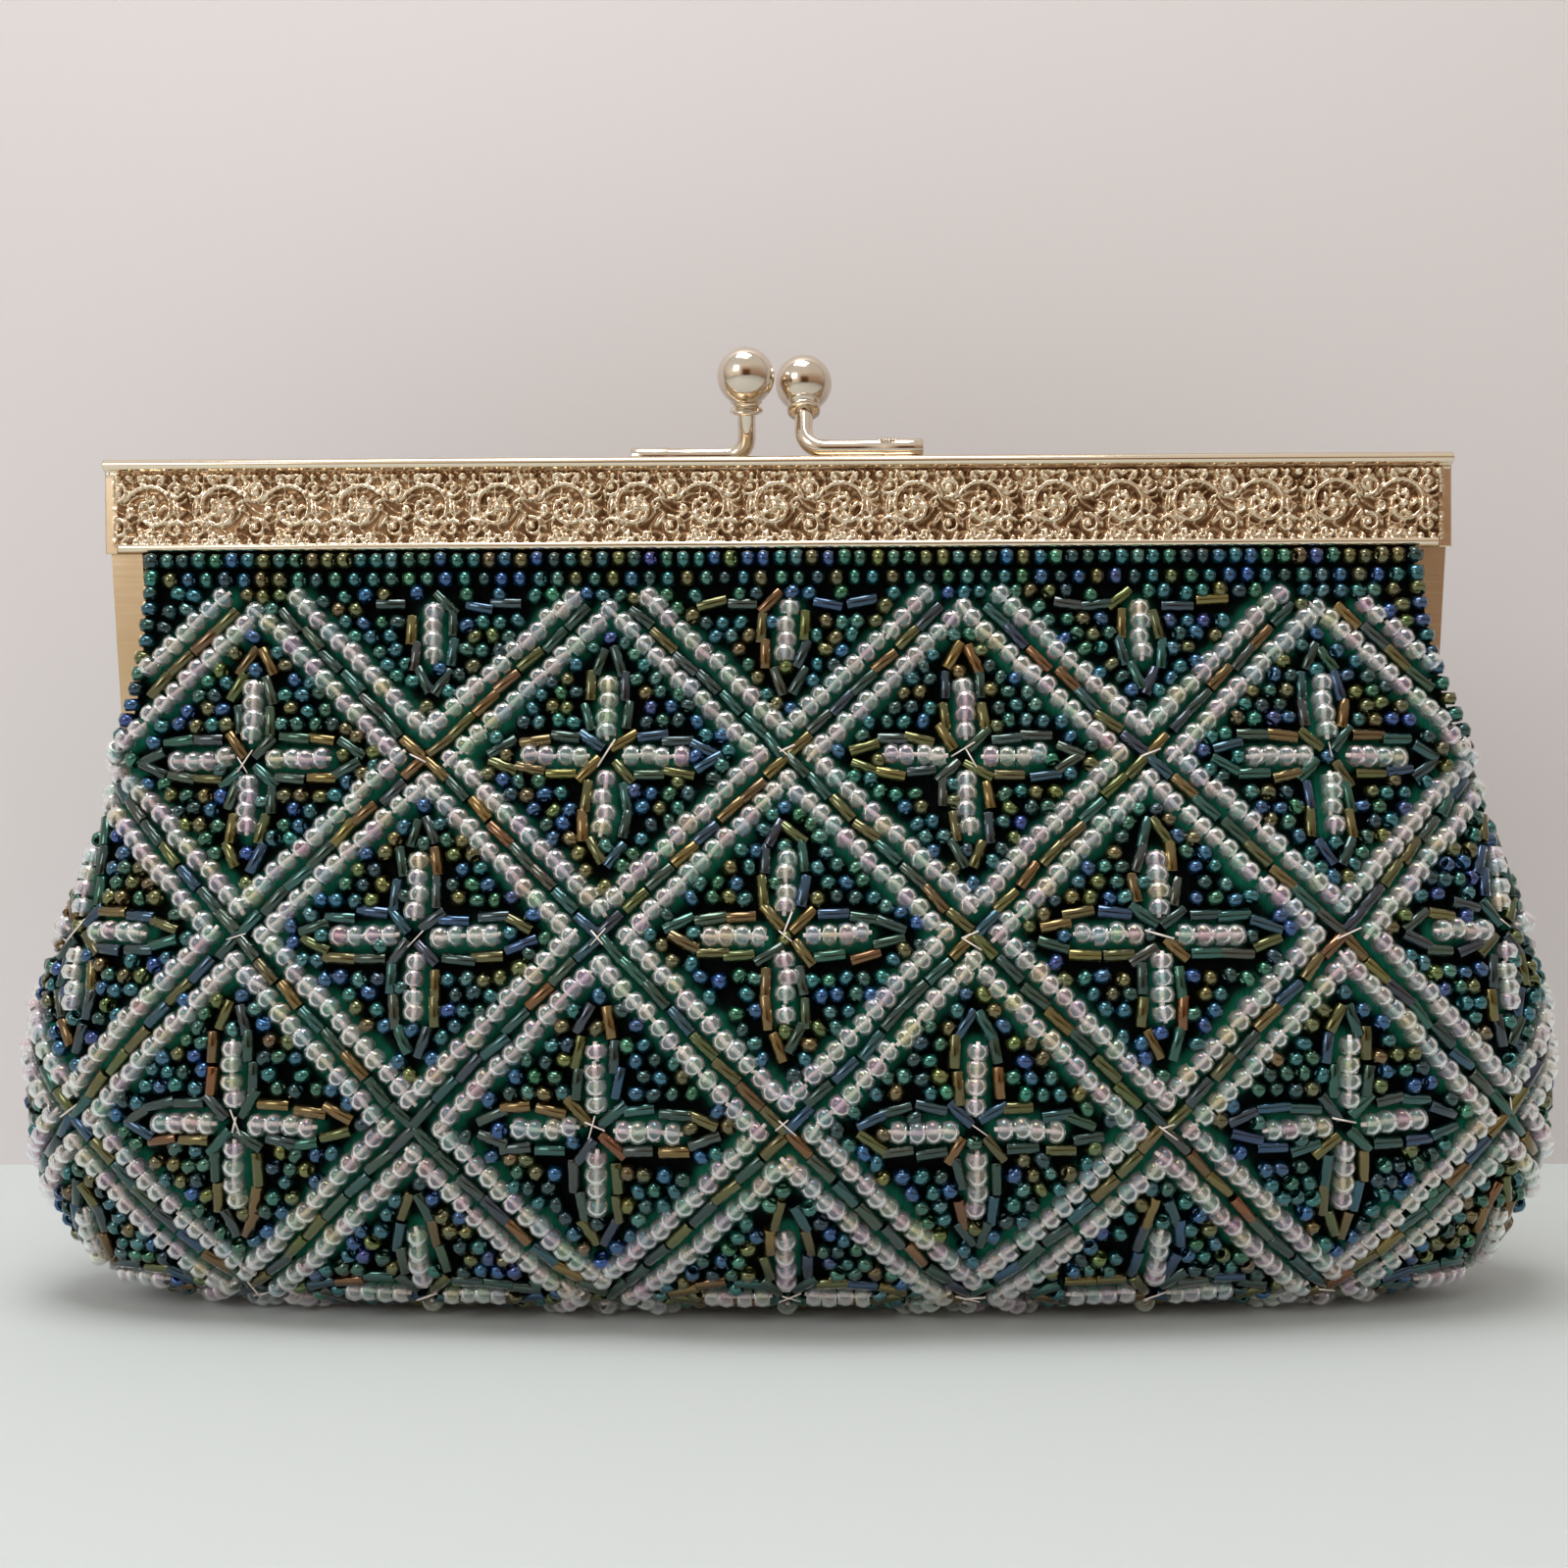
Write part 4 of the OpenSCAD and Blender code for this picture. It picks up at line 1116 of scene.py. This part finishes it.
def dress_side(side, rear, seed):
    """The cloth, lining, beads and band of one side of the purse."""
    body = f"{side}_half"
    face = lay_face()
    beads, crystal_places = bead_side(side, rear, face, seed)

    outer, inner = face["grid"][::2], lay_face(inset=CLOTH_T)["grid"][::2]
    # The crystals' green light, painted into the cloth's colour as its glow attribute.
    glow = glow_from(outer.reshape(-1, 3), crystal_places)
    cloth = add_piece(f"{side}_beaded_cloth", *slab(outer, inner), finishes["ground"],
                      values=("glow", np.concatenate([glow, glow * 0])), rear=rear)

    lining_face, lining_in = (
        lay_face(inset=inset, top_z=LINING_TOP_Z, arm_edge=in_channel)
        for inset in (LINING_GAP, LINING_GAP + LINING_T))
    lining = add_piece(
        f"{side}_satin_lining",
        *slab(lining_face["grid"][::2, ::2], lining_in["grid"][::2, ::2]),
        finishes["lining"], rear=rear)

    for piece in [*beads, cloth, lining]:
        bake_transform(piece)
    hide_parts(f"pouch_{side}_panel", f"{side}_yoke_panel")
    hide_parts("pouch_lining", "pouch_interlining", f"{side}_yoke_lining",
                f"{side}_yoke_interlining")

    band = band_piece(f"{side}_pressed_band", rear, finishes["band"])
    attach(band, body)
    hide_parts(f"{side}_embossed_band")

    add_lock(side, rear)
    for node, finish in (("frame", "frame"), ("lock_ball", "lock"), ("paper_cord", "paper")):
        dress_node(f"{side}_{node}", finishes[finish])


def glow_from(points, crystal_places):
    """How much of the crystals' green light is painted onto each point of the cloth: a bell
    curve over the way to the nearest one."""
    way = np.sqrt(nearest(points, crystal_places))
    return np.exp(-(np.clip(way - GLOW_START, 0, None) / GLOW_WIDTH) ** 2)


def dress_node(name, finish):
    """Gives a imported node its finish."""
    mesh = nodes[name].data
    mesh.materials.clear()
    mesh.materials.append(finish)


dress_side("front", False, 11)
dress_side("rear", True, 23)
for rivet in ("left_hinge_rivet", "right_hinge_rivet"):
    dress_node(rivet, finishes["rivet"])


# -------- table, wall and light

WALL_Y = 75.0
ROOM = 900.0


def paper_finish(name, colour, shade):
    """Matt painted board, seen from its front only, so that it never hides the purse."""
    made, tree = new_material(name)
    tone = ramp(tree, noise(tree, (500, 500, 500), 3.0), [(0.3, shade), (0.7, colour)])
    board = add_node(tree, "BsdfPrincipled", {
        "Base Color": tone, "Roughness": 0.9, "Specular IOR Level": 0.2})
    mixed = add_node(tree, "MixShader", {
        "Fac": add_node(tree, "NewGeometry").outputs["Backfacing"],
        1: board.outputs["BSDF"],
        2: add_node(tree, "BsdfTransparent").outputs["BSDF"]})
    add_node(tree, "OutputMaterial", {"Surface": mixed.outputs["Shader"]})
    return made


def add_board(name, corners, finish):
    """A flat board of the stage between four corners, in mm."""
    piece = add_piece(name, np.array(corners, float), [np.array([[0, 1, 2, 3]])], finish,
                      smooth=False)


add_board("table_top", [(-ROOM, -ROOM, 0), (ROOM, -ROOM, 0), (ROOM, ROOM, 0),
                        (-ROOM, ROOM, 0)],
          paper_finish("white_table_board", "#cad0d0", "#c6cccc"))
add_board("wall_board", [(-ROOM, WALL_Y, 0), (ROOM, WALL_Y, 0), (ROOM, WALL_Y, ROOM),
                         (-ROOM, WALL_Y, ROOM)],
          paper_finish("pale_wall_board", "#e1dee0", "#dcd8da"))


def add_world():
    """The room: pale above and all round, and a warm brown stretch low down in front, which
    the metal mirrors. The camera sees it pale."""
    world = bpy.data.worlds.new("room")
    bpy.context.scene.world = world
    world.use_nodes = True
    tree = world.node_tree
    tree.nodes.clear()
    look = add_node(tree, "TexCoord")
    parts = add_node(tree, "SeparateXYZ", {"Vector": look.outputs["Generated"]})
    across, away, height = (parts.outputs[axis] for axis in "XYZ")
    height = spread(tree, height, -1.0, 1.0)
    above = ramp(tree, height, [
        (0.3, "#7e726b"), (0.5, "#938272"), (0.62, "#c0b9b0"), (0.8, "#d7d4d0")])
    room = ramp(tree, height, [
        (0.3, "#a49b90"), (0.45, "#50321f"), (0.61, "#6e4830"), (0.65, "#b39b84"),
        (0.76, "#e6dccf"), (0.9, "#d9d6d2")])
    window = ramp(tree, height, [
        (0.3, "#b8b2a8"), (0.47, "#e6d8c2"), (0.6, "#fff4e6"), (0.85, "#dbd9d4")])
    corner = ramp(tree, height, [
        (0.3, "#a49b90"), (0.45, "#9a7f6b"), (0.62, "#b89f8a"), (0.8, "#dcd5cb")])
    room = blended(tree, spread(tree, across, -0.12, -0.42), room, window)
    room = blended(tree, spread(tree, across, 0.24, 0.42), room, corner)
    room = blended(tree, spread(tree, away, 0.1, -0.5), above, room)
    lit = add_node(tree, "Background", {"Color": room})
    seen = add_node(tree, "Background", {"Color": linear("#dcd6cf")})
    mixed = add_node(tree, "MixShader", {
        "Fac": add_node(tree, "LightPath").outputs["Is Camera Ray"],
        1: lit.outputs["Background"],
        2: seen.outputs["Background"]})
    add_node(tree, "OutputWorld", {"Surface": mixed.outputs["Shader"]})


def add_lamp(name, place, target, size, watts, colour):
    """A square soft lamp at a place, aimed at a target, both in mm."""
    lamp = bpy.data.lights.new(name, "AREA")
    lamp.shape = "RECTANGLE"
    lamp.size, lamp.size_y = size[0] * MM, size[1] * MM
    lamp.energy = watts
    lamp.color = linear(colour)[:3]
    made = bpy.data.objects.new(name, lamp)
    bpy.context.scene.collection.objects.link(made)
    made.location = Vector(place) * MM
    made.rotation_euler = (Vector(target) - Vector(place)).to_track_quat("-Z", "Y").to_euler()


add_world()
add_lamp("ceiling_lamp", (-60, -110, 700), (0, -10, 40), (380, 260), 2.75, "#fffefc")
add_lamp("window_lamp", (-330, -420, 330), (0, 0, 60), (200, 200), 0.55, "#f8faff")

bpy.context.scene.view_settings.view_transform = "Standard"
